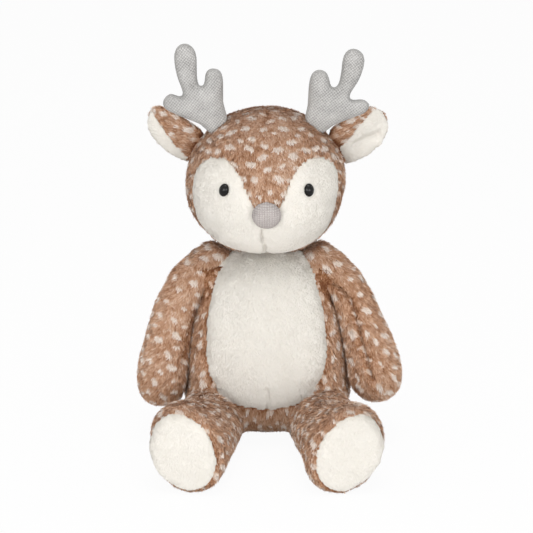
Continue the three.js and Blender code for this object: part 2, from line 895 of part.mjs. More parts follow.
// The sole is set into the front of the foot
function soleColumn(roll, grow) {
  const start = Math.hypot(SOLE_ASIDE - HIP_ASIDE, SOLE_FORWARD - HIP_FORWARD) / 2 - SOLE_WRAP - grow;
  const column = turned([[0, start], [1, start], [1, REACH], [0, REACH]], 26)
    .scale(SOLE_HALF_WIDTH + grow, SOLE_HALF_HEIGHT + grow, 1)
    .rotateX(Math.PI / 2)
    .rotateZ(Math.atan2(legAlong.x, -legAlong.y));
  const turn = THREE.MathUtils.degToRad(roll);
  column.applyMatrix4(new THREE.Matrix4().makeRotationAxis(legAlong, turn));
  const middle = (HIP_ASIDE + SOLE_ASIDE) / 2 + SOLE_OUTWARD;
  return column.translate(middle, -(HIP_FORWARD + SOLE_FORWARD) / 2, SOLE_HEIGHT);
}

function movedBack(geometry, distance) {
  return geometry.clone().translate(-legAlong.x * distance, -legAlong.y * distance, 0);
}

const legKeepOut = keepOut(torsoGrown, hip, SIDEWAYS, LEG_SWINGS);

function makeLeg(roll) {
  const outer = legForm(roll);
  const pocketFloor = movedBack(outer, PANEL_THICKNESS + CLEARANCE);
  const sole = cut(
    shared(soleColumn(roll, 0), outer),
    movedBack(outer, PANEL_THICKNESS),
    pocketFloor,
  );
  const pocket = cut(soleColumn(roll, CLEARANCE), pocketFloor);
  const body = joined(cut(outer, legKeepOut, pocket), ball(HIP_BALL, hip, 18));
  return { body: cut(body, floorBlock), sole };
}

const legs = { left: makeLeg(LEFT_LEG_ROLL), right: makeLeg(RIGHT_LEG_ROLL) };

// Torso, with room for the balls of the limbs and for what sits inside it
const shoulderRoom = ball(SHOULDER_BALL + SWING_CLEARANCE, shoulder, 16);
const hipRoom = ball(HIP_BALL + SWING_CLEARANCE, hip, 18);
const limbRooms = [
  shoulderRoom,
  hipRoom,
  mirrored(toGeometry(toSolid(shoulderRoom)), -1),
  mirrored(toGeometry(toSolid(hipRoom)), -1),
];
const torso = cut(torsoOuter, bellyPocket, seatPlate(CLEARANCE), bagRoom, bagDoor, ...limbRooms);
const belly = cut(bellyPanel, ...limbRooms);

const ears = { left: finishEar(earLeft), right: finishEar(earRight) };
let head = cut(headOuter, neckCut);
for (const side of [1, -1]) {
  const ear = side > 0 ? ears.left : ears.right;
  for (const room of [cheekPocket, eyeBore, washerRoom, ear.room]) {
    head = cut(head, mirrored(toGeometry(toSolid(room)), side));
  }
}

const BROWN = 0xa9836a;
const CREAM = 0xefeae2;
const GREY = 0xa8a4a2;
const BLACK = 0x111111;
const CANVAS = 0xd8d2c4;
addPart('torso', torso, BROWN);
addPart('belly_panel', belly, CREAM);
addPart('seat_panel', seatPlate(0), BROWN);
addPart('pellet_bag', pelletBag, CANVAS);
addPart('head', head, BROWN);
addPart('nose', nose, GREY);
for (const side of [1, -1]) {
  const word = side > 0 ? 'left' : 'right';
  const cheek = cut(cheekSkin, eyeBore, washerRoom);
  const ear = ears[word];
  addPart(`cheek_${word}`, mirrored(cheek, side), CREAM);
  addPart(`eye_${word}`, mirrored(eye, side), BLACK);
  addPart(`eye_washer_${word}`, mirrored(toGeometry(toSolid(washer)), side), BLACK);
  addPart(`antler_${word}`, mirrored(antlers[word], side), GREY);
  addPart(`ear_${word}`, mirrored(ear.body, side), BROWN);
  addPart(`ear_lining_${word}`, mirrored(ear.lining, side), CREAM);
  addPart(`arm_${word}`, mirrored(arms[word], side), BROWN);
  addPart(`leg_${word}`, mirrored(legs[word].body, side), BROWN);
  addPart(`sole_${word}`, mirrored(legs[word].sole, side), CREAM);
}

// Origin at the middle of the bounding box's underside
const box = new THREE.Box3().setFromObject(group);
const middle = box.getCenter(new THREE.Vector3());
for (const part of group.children) part.geometry.translate(-middle.x, -middle.y, -box.min.z);

export default group;
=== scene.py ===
# %% [markdown]
# # A sitting plush deer
# This lesson dresses a plain model of a stuffed deer as the real toy is made: pile cloth sewn into
# covers, filled with fibre, with woven antlers, a knitted nose and moulded eyes.
# The covers could be sculpted by hand. Here they grow out of the plain model's solids instead, so
# that every cover keeps the size and the place of its piece. The plain model comes in first.

import json
import math

import bmesh
import bpy
import numpy as np
from mathutils import Matrix, Vector, noise as lumps
from mathutils.bvhtree import BVHTree
from mathutils.kdtree import KDTree


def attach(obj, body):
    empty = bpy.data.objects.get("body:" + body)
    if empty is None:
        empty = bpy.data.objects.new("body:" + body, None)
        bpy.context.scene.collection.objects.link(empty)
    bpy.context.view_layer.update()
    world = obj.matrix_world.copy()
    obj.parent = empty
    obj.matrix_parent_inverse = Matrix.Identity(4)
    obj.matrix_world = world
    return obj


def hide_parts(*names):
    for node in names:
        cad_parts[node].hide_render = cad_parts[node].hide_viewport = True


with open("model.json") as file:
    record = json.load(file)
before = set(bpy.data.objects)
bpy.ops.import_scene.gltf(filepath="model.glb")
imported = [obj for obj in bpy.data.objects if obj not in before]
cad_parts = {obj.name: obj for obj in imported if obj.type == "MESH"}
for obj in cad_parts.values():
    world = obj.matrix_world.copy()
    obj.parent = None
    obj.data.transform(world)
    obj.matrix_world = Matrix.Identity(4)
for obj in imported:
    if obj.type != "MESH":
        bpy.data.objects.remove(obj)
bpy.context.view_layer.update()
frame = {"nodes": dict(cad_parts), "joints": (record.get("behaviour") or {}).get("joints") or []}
scene = bpy.context.scene
SIDES = ("left", "right")
print("pieces in the plain model:", len(frame["nodes"]))

# %% [markdown]
# ## Camera
# The photo was taken from a little above the toy with a long lens. A camera can be placed by eye, but
# this one is worked out from a point in the middle of the toy, a height angle and a distance, because
# each of the three can then be corrected without upsetting the others.

# %% Camera
LOOK_AT = Vector((-0.0026, 0.04936, 0.155))
LOOK_DOWN = math.radians(16)
DISTANCE = 1.7
PIXELS = 533
FOCUS_PIXELS = 1910
SENSOR = 36


def placed(name, data):
    """A new object in the scene, at its origin."""
    piece = bpy.data.objects.new(name, data)
    scene.collection.objects.link(piece)
    return piece


camera_data = bpy.data.cameras.new("camera")
camera = placed("camera", camera_data)
camera.location = LOOK_AT + DISTANCE * Vector((0, -math.cos(LOOK_DOWN), math.sin(LOOK_DOWN)))
camera.rotation_euler = (LOOK_AT - camera.location).to_track_quat("-Z", "Y").to_euler()
camera_data.lens = FOCUS_PIXELS / PIXELS * SENSOR
camera_data.clip_end = 20
scene.camera = camera
print("lens in mm:", round(camera_data.lens, 1))

# %% [markdown]
# ## Node trees in short
# The world, the materials and the pile are trees of nodes. Each node could be added, set and linked
# on lines of its own. A small class does all three in one line, so a tree reads like a formula.

# %% A short hand for nodes
class Graph:
    """A short hand for building a node tree. An input is named, or numbered as i0, i1 and so on."""

    def __init__(self, tree):
        self.tree = tree

    def add(self, kind, settings=None, **inputs):
        node = self.tree.nodes.new(kind)
        for key, value in (settings or {}).items():
            setattr(node, key, value)
        for key, value in inputs.items():
            at = int(key[1:]) if key[0] == "i" and key[1:].isdigit() else key.replace("_", " ")
            self.feed(node.inputs[at], value)
        return node

    def out(self, kind, settings=None, **inputs):
        return self.add(kind, settings, **inputs).outputs[0]

    def feed(self, socket, value):
        if isinstance(value, bpy.types.NodeSocket):
            self.tree.links.new(value, socket)
        elif value is not None:
            socket.default_value = value

    def math(self, operation, a, b=None, c=None, clamp=False):
        return self.out("ShaderNodeMath", {"operation": operation, "use_clamp": clamp}, i0=a, i1=b, i2=c)

    def plus(self, a, b, clamp=False):
        return self.math("ADD", a, b, clamp=clamp)

    def times(self, a, b, clamp=False):
        return self.math("MULTIPLY", a, b, clamp=clamp)

    def vector(self, operation, a, b=None, scale=None):
        node = self.add("ShaderNodeVectorMath", {"operation": operation}, i0=a, i1=b)
        if scale is not None:
            self.feed(node.inputs["Scale"], scale)
        return node.outputs["Value" if operation in ("LENGTH", "DOT_PRODUCT", "DISTANCE") else "Vector"]


print("ready: Graph")

# %% [markdown]
# ## Light and floor
# A studio photo of a pale toy uses large soft lamps. Big area lamps give the soft shading, and the
# world adds an even fill. More light would also whiten the background, but it would bleach the
# cream cloth. So the white is the floor's and the world's own colour as the camera sees it.

# %% World
FILL, WHITE = 0.68, 1.0


def looked_at(g):
    """1 where a surface is seen, directly or mirrored, and 0 where it only gives light."""
    path = g.add("ShaderNodeLightPath").outputs
    mirrored = g.math("MAXIMUM", path["Is Camera Ray"], path["Is Glossy Ray"])
    return g.math("MAXIMUM", mirrored, path["Is Transmission Ray"])


scene.view_settings.view_transform = "Standard"
scene.world = bpy.data.worlds.new("studio")
scene.world.use_nodes = True
g = Graph(scene.world.node_tree)
g.tree.nodes.clear()
fill = g.out("ShaderNodeBackground", Strength=FILL)
white = g.out("ShaderNodeBackground", Color=(1, 1, 1, 1), Strength=WHITE)
choose = g.out("ShaderNodeMixShader", Fac=looked_at(g), i1=fill, i2=white)
g.add("ShaderNodeOutputWorld", Surface=choose)
print("world's nodes:", len(g.tree.nodes))


# %% Lamps
def soft_lamp(name, place, size, watts):
    data = bpy.data.lights.new(name, "AREA")
    data.shape = "DISK"
    data.size = size
    data.energy = watts
    lamp = placed(name, data)
    lamp.location = place
    lamp.rotation_euler = (LOOK_AT - Vector(place)).to_track_quat("-Z", "Y").to_euler()


soft_lamp("key_lamp", (-0.8, -1.7, 0.36), 1.2, 16.5)
soft_lamp("fill_lamp", (0.9, -1.7, 0.18), 1.2, 17.5)
soft_lamp("top_lamp", (0.1, -0.5, 1.9), 1.0, 13)

# %% Floor
PAPER_GREY = 0.85
PAPER_GLOW = 0.95

floor_mesh = bpy.data.meshes.new("floor")
bm = bmesh.new()
bmesh.ops.create_grid(bm, x_segments=1, y_segments=1, size=6)
bm.to_mesh(floor_mesh)
bm.free()
floor = placed("floor", floor_mesh)
floor_look = bpy.data.materials.new("white_paper")
floor_look.use_nodes = True
g = Graph(floor_look.node_tree)
g.tree.nodes.clear()
matt = g.out("ShaderNodeBsdfDiffuse", Color=(PAPER_GREY, PAPER_GREY, PAPER_GREY, 1))
glow = g.out("ShaderNodeEmission", Strength=1.0)
share = g.times(looked_at(g), PAPER_GLOW)
blend = g.out("ShaderNodeMixShader", Fac=share, i1=matt, i2=glow)
g.add("ShaderNodeOutputMaterial", Surface=blend)
floor_mesh.materials.append(floor_look)
print("floor in m:", round(floor.dimensions.x, 1))

# %% [markdown]
# ## From solid to cover
# A stuffed piece is a cloth cover under the pressure of its filling. It could be drawn flat and sewn
# in a simulation, but the sizes of the finished toy would then be hard to hold. So each cover
# starts from the plain solids that it stands for: they are copied, joined into one skin by a voxel
# remesh, and blown up a little by a cloth simulation. How far a point may move is capped, so that
# the piece keeps its size.

# %% Copy solids into one mesh
def gathered(name, nodes, fillers=()):
    """One object that holds copies of the named solids and of the filler shapes, edges merged."""
    bm = bmesh.new()
    for node in nodes:
        bm.from_mesh(frame["nodes"][node].data)
    for filler in fillers:
        filler(bm)
    bmesh.ops.remove_doubles(bm, verts=bm.verts, dist=0.000002)
    mesh = bpy.data.meshes.new(name)
    bm.to_mesh(mesh)
    bm.free()
    return placed(name, mesh)


def applied(piece):
    """Makes the piece's modifiers part of its mesh."""
    graph = bpy.context.evaluated_depsgraph_get()
    graph.update()
    mesh = bpy.data.meshes.new_from_object(piece.evaluated_get(graph), depsgraph=graph)
    piece.modifiers.clear()
    old = piece.data
    piece.data = mesh
    bpy.data.meshes.remove(old)


print("solids that can be copied:", len(frame["nodes"]))


# %% Remesh a skin, and read and move its points
def remeshed(piece, voxel):
    remesh = piece.modifiers.new("skin", "REMESH")
    remesh.mode = "VOXEL"
    remesh.voxel_size = voxel
    applied(piece)
    piece.data.shade_smooth()


def read(piece, what):
    """A place or a normal for each point of a piece."""
    found = np.empty(len(piece.data.vertices) * 3)
    piece.data.vertices.foreach_get(what, found)
    return found.reshape(-1, 3)


def places(piece):
    return read(piece, "co")


def outward(piece):
    return read(piece, "normal")


def put(piece, where):
    piece.data.vertices.foreach_set("co", np.asarray(where).ravel())
    piece.data.update()


print("ready: remeshed, places, outward and put")

# %% Even out a skin
def eased(piece, rounds):
    """Evens the skin out, as cloth evens the lumps of its filling."""
    bm = bmesh.new()
    bm.from_mesh(piece.data)
    axes = {"use_axis_x": True, "use_axis_y": True, "use_axis_z": True}
    for _ in range(rounds):
        bmesh.ops.smooth_vert(bm, verts=bm.verts, factor=0.5, **axes)
    bm.to_mesh(piece.data)
    bm.free()


def evened(piece, values, rounds=8):
    """Averages a value at each point with its neighbours, again and again."""
    pairs = np.empty(len(piece.data.edges) * 2, int)
    piece.data.edges.foreach_get("vertices", pairs)
    one, other = pairs.reshape(-1, 2).T
    count = np.bincount(pairs, minlength=len(values))[:, None]
    for _ in range(rounds):
        total = np.zeros_like(values)
        np.add.at(total, one, values[other])
        np.add.at(total, other, values[one])
        values = (values + total / count) / 2
    return values


print("ready: eased and evened")

# %% Blow a cover up with cloth
FRAMES = 20
CLOTH = {
    "quality": 4,
    "mass": 0.003,
    "tension_stiffness": 5,
    "compression_stiffness": 4,
    "shear_stiffness": 2,
    "bending_stiffness": 0.6,
    "use_pressure": True,
    "uniform_pressure_force": 4.0,
}


def stuffed(piece, cap=0.002):
    """Lets the filling press the skin out from inside, by cap at most."""
    rest = places(piece)
    cloth = piece.modifiers.new("cover", "CLOTH")
    for key, value in CLOTH.items():
        setattr(cloth.settings, key, value)
    cloth.settings.effector_weights.gravity = 0
    cloth.point_cache.frame_start, cloth.point_cache.frame_end = 1, FRAMES
    for number in range(1, FRAMES + 1):
        scene.frame_set(number)
    graph = bpy.context.evaluated_depsgraph_get()
    blown = places(piece.evaluated_get(graph))
    piece.modifiers.remove(cloth)
    scene.frame_set(1)
    moved = evened(piece, blown - rest)
    far = np.linalg.norm(moved, axis=1, keepdims=True)
    put(piece, rest + moved * np.minimum(1, cap / np.maximum(far, 1e-9)))
    print(piece.name, "moved by mm on average:", round(float(far.mean()) * 1000, 2))


print("frames of cloth for a cover:", FRAMES)


# %% Lumps of filling, and a finer skin
def lumpy(piece, amount, size, seed):
    """Low swells and hollows, as stuffing leaves them."""
    where = places(piece)
    shift = Vector((seed * 3.1, seed * 1.7, seed * 2.3))
    swell = np.array([lumps.noise(Vector(point) / size + shift) for point in where])
    put(piece, where + outward(piece) * (swell * amount)[:, None])


def finer(piece, levels=1):
    smooth = piece.modifiers.new("finer", "SUBSURF")
    smooth.levels = smooth.render_levels = levels
    applied(piece)


print("ready: lumpy and finer")

# %% [markdown]
# ## Seams
# Where two cloths meet, the seam pulls the cover in and the pile closes over it. Two covers blown up
# apart would leave a gap there or cross each other. So the cover is blown up as one skin, then each
# face goes to the cloth whose plain solid lies nearest, as it lay before the skin swelled. Near the
# line between two cloths the skin is drawn inwards.

# %% Share a skin out among its cloths
def tree_of(*meshes):
    bm = bmesh.new()
    for mesh in meshes:
        bm.from_mesh(mesh)
    tree = BVHTree.FromBMesh(bm)
    bm.free()
    return tree


def surface_of(*nodes):
    return tree_of(*[frame["nodes"][node].data for node in nodes])


def twin_of(piece):
    """The skin as it is now, kept to tell later which cloth each face belongs to."""
    return placed(piece.name + "_twin", piece.data.copy())


def owners(twin, groups, favour=0.0):
    """For each face, which group of solids lies nearest; favour widens the last group."""
    finer(twin)
    trees = [surface_of(*group) for group in groups]
    found = []
    for polygon in twin.data.polygons:
        gaps = [tree.find_nearest(polygon.center)[3] for tree in trees]
        gaps[-1] -= favour
        found.append(int(np.argmin(gaps)))
    bpy.data.objects.remove(twin)
    return np.array(found)


def seam_points(piece, owner):
    """The points where faces of different cloths meet."""
    first = {}
    meet = set()
    for polygon in piece.data.polygons:
        mine = owner[polygon.index]
        for vertex in polygon.vertices:
            if first.setdefault(vertex, mine) != mine:
                meet.add(vertex)
    return sorted(meet)


def points_at(piece, indices):
    return [piece.data.vertices[index].co for index in indices]


print("ready: twin_of, owners and seam_points")

# %% How near a line each point lies
def line_tree(lines):
    tree = KDTree(len(lines))
    for index, point in enumerate(lines):
        tree.insert(point, index)
    tree.balance()
    return tree


def nearness(piece, lines, reach):
    """1 on the line, falling away to 0 beyond its reach."""
    tree = line_tree(lines)
    gap = np.array([tree.find(point)[2] for point in places(piece)])
    return np.exp(-((gap / reach) ** 2))


def closer(piece, lines, reach):
    """More points along lines, so that a narrow seam can be drawn in there."""
    tree = line_tree(lines)
    bm = bmesh.new()
    bm.from_mesh(piece.data)
    near = [edge for edge in bm.edges if tree.find((edge.verts[0].co + edge.verts[1].co) / 2)[2] < reach]
    bmesh.ops.subdivide_edges(bm, edges=near, cuts=2, use_grid_fill=True)
    bm.to_mesh(piece.data)
    bm.free()
    piece.data.shade_smooth()
    print(piece.name, "edges cut along the line:", len(near))


print("ready: nearness and closer")

# %% Draw a skin in along a line
BARE_SHARE = 0.6


def crease_and_shade(piece):
    """How creased each point is, from 0 to 1, and so how much painted shade its pile gets."""
    if "crease" not in piece.data.attributes:
        piece.data.attributes.new("crease", "FLOAT", "POINT")
    return piece.data.attributes["crease"].data


def drawn_in(piece, lines, depth=0.0022, reach=0.005, shade=0.0, bare=None):
    """Pulls the skin in along lines; shade makes the pile there shorter and gives it painted shade."""
    if len(lines) == 0:
        return
    bare = bare or reach * BARE_SHARE
    where = places(piece)
    put(piece, where - outward(piece) * (depth * nearness(piece, lines, reach))[:, None])
    crease = crease_and_shade(piece)
    before = np.empty(len(crease))
    crease.foreach_get("value", before)
    crease.foreach_set("value", np.clip(shade * nearness(piece, lines, bare), before, 1))


def touching(piece, nodes, gap):
    """The points of a skin that lie next to the named solids."""
    trees = [surface_of(node) for node in nodes]
    return [point for point in places(piece) if min(tree.find_nearest(point)[3] for tree in trees) < gap]


print("ready: drawn_in and touching")

# %% Lines on a skin, and pieces cut from it
def front_line(piece, corners, step=0.001):
    """A line over the front of a skin, through corners given as millimetres across and up."""
    tree = tree_of(piece.data)
    line = []
    for start, end in zip(corners, corners[1:]):
        start, end = Vector(start) / 1000, Vector(end) / 1000
        count = max(1, round((end - start).length / step))
        for number in range(count + 1):
            x, z = start.lerp(end, number / count)
            hit = tree.ray_cast(Vector((x, -1, z)), Vector((0, 1, 0)))[0]
            if hit:
                line.append(hit)
    return line


def piece_from(whole, name, keep):
    """A new object that holds the faces of a skin for which keep is true."""
    bm = bmesh.new()
    bm.from_mesh(whole.data)
    bm.faces.ensure_lookup_table()
    drop = [face for face in bm.faces if not keep[face.index]]
    bmesh.ops.delete(bm, geom=drop, context="FACES")
    mesh = bpy.data.meshes.new(name)
    bm.to_mesh(mesh)
    bm.free()
    return placed(name, mesh)


print("ready: front_line and piece_from")

# %% [markdown]
# ## Room to swing
# On the real toy a thigh that is lifted pushes the belly's cloth away. Rigid covers would cut into
# each other. They could be bent pose by pose, but one shape has to serve them all. So each skin is
# swung to its limit beforehand, and where it would then lie in its neighbour, it is held back.

# %% Hold a skin back for a swing
SWING_REACH = 0.01
PANEL_REACH = 0.006
PAST_SURFACE = 0.000002


def within(tree, point):
    """Inside a solid: a straight line outwards meets its surface an odd number of times."""
    way = Vector((0.31, 0.17, 0.93)).normalized()
    start, met = Vector(point), 0
    while True:
        hit = tree.ray_cast(start, way)[0]
        if hit is None:
            return met % 2 == 1
        met += 1
        start = hit + way * PAST_SURFACE


def room_to_swing(piece, joint, angle, node, room, most=0.004, only=None):
    """Holds a skin off a neighbour that it would meet on the way to an angle of a joint."""
    pivot = Vector(joint["pos_m"])
    tree = surface_of(node)
    back = np.zeros(len(piece.data.vertices))
    for part in (angle / 2, angle):
        turn = Matrix.Rotation(part, 4, Vector(joint["axis"]))
        turn = Matrix.Translation(pivot) @ turn @ Matrix.Translation(-pivot)
        for index, point in enumerate(places(piece)):
            if only and only.find_nearest(point)[3] > PANEL_REACH:
                continue
            swung = turn @ Vector(point)
            gap = tree.find_nearest(swung)[3]
            if gap < SWING_REACH and within(tree, swung):
                gap = -gap
            back[index] = max(back[index], min(max(room - gap, 0), most))
    print(piece.name, "points held back for the swing:", int((back > 0).sum()))
    put(piece, places(piece) - outward(piece) * evened(piece, back[:, None], 3))


# %% [markdown]
# ## Pile
# Pile cloth is thousands of short fibres that lean one way. Hair curves would be quicker to comb,
# but they are no mesh, and the finished model has to be one. So each fibre is a blade of three
# triangles. Its place on the colour chart is kept in the piece's own map: across the chart the
# colour goes from the darkest fibre to the palest, and up the chart from the fibre's root to its
# tip. The material only has to read that chart, so every fibre has one colour from root to tip.

# %% One fibre
def of_kind(parts, kind):
    return [part for part in parts if isinstance(part, kind)]


def fibre(name, curl):
    mesh = bpy.data.meshes.new(name)
    bm = bmesh.new()
    root = [bm.verts.new((-0.5, 0, 0)), bm.verts.new((0.5, 0, 0))]
    edge = bm.edges.new(root)
    middle = bmesh.ops.extrude_edge_only(bm, edges=[edge])["geom"]
    bmesh.ops.translate(bm, verts=of_kind(middle, bmesh.types.BMVert), vec=(0, -curl * 0.3, 0.55))
    top = bmesh.ops.extrude_edge_only(bm, edges=of_kind(middle, bmesh.types.BMEdge))["geom"]
    bmesh.ops.pointmerge(bm, verts=of_kind(top, bmesh.types.BMVert), merge_co=(0, -curl, 1))
    bmesh.ops.triangulate(bm, faces=bm.faces)
    bmesh.ops.recalc_face_normals(bm, faces=bm.faces)
    if sum(face.normal.y for face in bm.faces) < 0:
        bmesh.ops.reverse_faces(bm, faces=bm.faces)
    up = bm.verts.layers.float.new("along")
    side = bm.verts.layers.float.new("side")
    for vert in bm.verts:
        vert[up] = vert.co.z
        vert[side] = vert.co.x
    bm.to_mesh(mesh)
    bm.free()
    mesh.shade_smooth()
    return placed(name, mesh)


pile_blade = fibre("fibre", 0.35)
print("triangles in a fibre:", len(pile_blade.data.polygons))


# %% Node short hands for the pile
def attribute(g, name, kind="FLOAT"):
    return g.add("GeometryNodeInputNamedAttribute", {"data_type": kind}, Name=name).outputs["Attribute"]


def noise(g, place, size, detail=2.0, output="Fac"):
    return g.add("ShaderNodeTexNoise", Vector=place, Scale=1 / size, Detail=detail).outputs[output]


def stored(g, geometry, name, value, kind="FLOAT", domain="POINT"):
    """Keeps a value on each point, corner or fibre under a name."""
    settings = {"data_type": kind, "domain": domain}
    return g.out("GeometryNodeStoreNamedAttribute", settings, Geometry=geometry, Name=name, Value=value)


def random_between(g, low, high, seed, owner=None):
    node = g.add("FunctionNodeRandomValue", {"data_type": "FLOAT"}, i2=low, i3=high, ID=owner, Seed=seed)
    return node.outputs[1]


print("ready: attribute, noise, stored and random_between")

# %% [markdown]
# ## Fawn spots
# The brown cloth is printed with small pale spots, a little wider than high. A Voronoi texture would
# give spots on a grid that shows. So their middles are strewn over the skin, never closer than a
# set distance. Each spot has a size and a slant of its own, and noise frays its edge. Between the
# spots the colour drifts from warm tan to darker brown.

# %% Where the spots lie
SPOT_GAP = 0.0094
SPOT_HALF = (0.0026, 0.0048)
SPOT_SLIM = (0.42, 0.66)
FRAY = 0.0025


def in_spot(g, skin, place, up, seed, slant, spot):
    """1 inside a spot, falling to 0 at its frayed edge."""
    apart = {"distribute_method": "POISSON"}
    strewn = g.add("GeometryNodeDistributePointsOnFaces", apart, Mesh=skin, Seed=seed)
    strewn.inputs["Distance Min"].default_value = SPOT_GAP
    strewn.inputs["Density Max"].default_value = 30000
    middles = strewn.outputs["Points"]
    which = g.out("GeometryNodeSampleNearest", Geometry=middles, i1=place)
    here = g.out("GeometryNodeInputPosition")
    kind = {"data_type": "FLOAT_VECTOR"}
    middle = g.out("GeometryNodeSampleIndex", kind, Geometry=middles, Value=here, Index=which)
    off = g.vector("SUBTRACT", place, middle)
    level = g.vector("NORMALIZE", g.vector("CROSS_PRODUCT", up, (0, 0, 1)))
    steep = g.vector("CROSS_PRODUCT", level, up)
    right, rise = g.vector("DOT_PRODUCT", off, level), g.vector("DOT_PRODUCT", off, steep)
    slant = g.plus(slant, random_between(g, -0.6, 0.6, seed + 5, which))
    cosine, sine = g.math("COSINE", slant), g.math("SINE", slant)
    along = g.plus(g.times(right, cosine), g.times(rise, sine))
    aside = g.math("SUBTRACT", g.times(rise, cosine), g.times(right, sine))
    half = random_between(g, SPOT_HALF[0] * spot, SPOT_HALF[1] * spot, seed + 6, which)
    slim = g.times(half, random_between(g, *SPOT_SLIM, seed + 7, which))
    along, aside = g.math("DIVIDE", along, half), g.math("DIVIDE", aside, slim)
    out = g.math("SQRT", g.plus(g.times(along, along), g.times(aside, aside)))
    out = g.plus(out, g.times(g.math("SUBTRACT", noise(g, place, FRAY), 0.5), 1.1))
    return g.times(g.math("SUBTRACT", 1.15, out), 4.5, clamp=True)


print("spots at least this far apart, in mm:", SPOT_GAP * 1000)

# %% Tones of the two cloths
SPOT_PALE = 0.96
DRIFT, TUFT, STRAND = 0.03, 0.0045, 0.0014


def spotted(g, skin, place, up, seed, slant, spot):
    """From 0, dark brown, to 1, white spot."""
    inside = in_spot(g, skin, place, up, seed, slant, spot)
    drift = noise(g, place, DRIFT, 2.0)
    tuft = noise(g, place, TUFT, 1.0)
    strand = noise(g, place, STRAND, 1.0)
    brown = g.plus(g.times(drift, 0.4), g.times(tuft, 0.6))
    brown = g.plus(brown, g.times(strand, 1.1))
    brown = g.plus(g.math("SUBTRACT", brown, 0.62), random_between(g, -0.1, 0.1, 3))
    pale = g.plus(SPOT_PALE, random_between(g, -0.08, 0.06, 4))
    mix = {"data_type": "FLOAT", "clamp_factor": True}
    return g.out("ShaderNodeMix", mix, i0=inside, i2=brown, i3=pale)


def plain_tone(g, skin, place, up, seed, slant, spot):
    """Nearly one tone, as on the cream cloth."""
    drift = noise(g, place, 0.02, 2.0)
    tuft = noise(g, place, 0.004, 2.0)
    tone = g.plus(g.times(drift, 0.5), g.times(tuft, 0.3))
    return g.plus(g.plus(tone, 0.2), random_between(g, -0.05, 0.05, 5))


print("tones drift over mm:", DRIFT * 1000)

# %% [markdown]
# ## Growing the pile
# Geometry nodes strew points over the outer side of a skin and set one fibre on each. It leans
# along the comb, with some stray, and is shorter where the skin is creased, with painted shade
# there for the shadow in the crease. A particle system could strew fibres too, but nodes also work
# out the tone of each and keep it in the map.

# %% How a fibre stands
JITTER = 0.3


def stance(g, place, up, lean, stray, twist, seed):
    """A fibre's turn: it leans along the comb, strays from it and twists about itself."""
    comb = attribute(g, "comb", "FLOAT_VECTOR")
    swirl = g.vector("SUBTRACT", noise(g, place, 0.012, 1.0, "Color"), (0.5, 0.5, 0.5))
    comb = g.vector("ADD", comb, g.vector("SCALE", swirl, scale=stray))
    low, high = (-JITTER,) * 3, (JITTER,) * 3
    kind = {"data_type": "FLOAT_VECTOR"}
    jitter = g.out("FunctionNodeRandomValue", kind, i0=low, i1=high, Seed=seed + 8)
    comb = g.vector("ADD", comb, jitter)
    level = g.vector("SUBTRACT", comb, g.vector("SCALE", up, scale=g.vector("DOT_PRODUCT", comb, up)))
    level = g.vector("NORMALIZE", level)
    tilt = g.plus(lean, random_between(g, -0.25, 0.25, seed + 1))
    rising = g.vector("SCALE", up, scale=g.math("COSINE", tilt))
    way = g.vector("ADD", rising, g.vector("SCALE", level, scale=g.math("SINE", tilt)))
    stand = g.out("FunctionNodeAlignRotationToVector", {"axis": "Z"}, Vector=way)
    about = {"axis": "Y", "pivot_axis": "Z"}
    face_out = g.out("FunctionNodeAlignRotationToVector", about, Rotation=stand, Vector=up)
    angle = random_between(g, -twist, twist, seed + 2)
    spin = g.out("FunctionNodeAxisAngleToRotation", Axis=(0, 0, 1), Angle=angle)
    local = {"rotation_space": "LOCAL"}
    return g.out("FunctionNodeRotateRotation", local, Rotation=face_out, i1=spin)


print("stray of single fibres:", JITTER)

# %% How long and wide a fibre is
# In a crease a fibre is shorter, and its tone is lowered by painted shade.
CREASE_SHORT, CREASE_PAINTED_SHADE = 0.85, 0.55


def blade_size(g, place, crease, length, width, seed):
    patchy = g.plus(0.72, g.times(noise(g, place, 0.008), 0.6))
    tall = g.times(random_between(g, 0.65, 1.15, seed + 3), patchy)
    tall = g.times(tall, g.math("SUBTRACT", 1.0, g.times(crease, CREASE_SHORT)))
    tall = g.times(tall, length)
    wide = g.times(random_between(g, 0.7, 1.3, seed + 4), width)
    return g.out("ShaderNodeCombineXYZ", i0=wide, i1=tall, i2=tall)


def in_chart(g, value, share, start, clamp=False):
    """Keeps a place on the chart off its rim."""
    return g.plus(g.times(value, share), start, clamp=clamp)


print("share of a fibre's length left in a crease:", round(1 - CREASE_SHORT, 2))


# %% The pile modifier
SPARE = ("tone", "along", "side", "up", "comb", "pile", "crease")


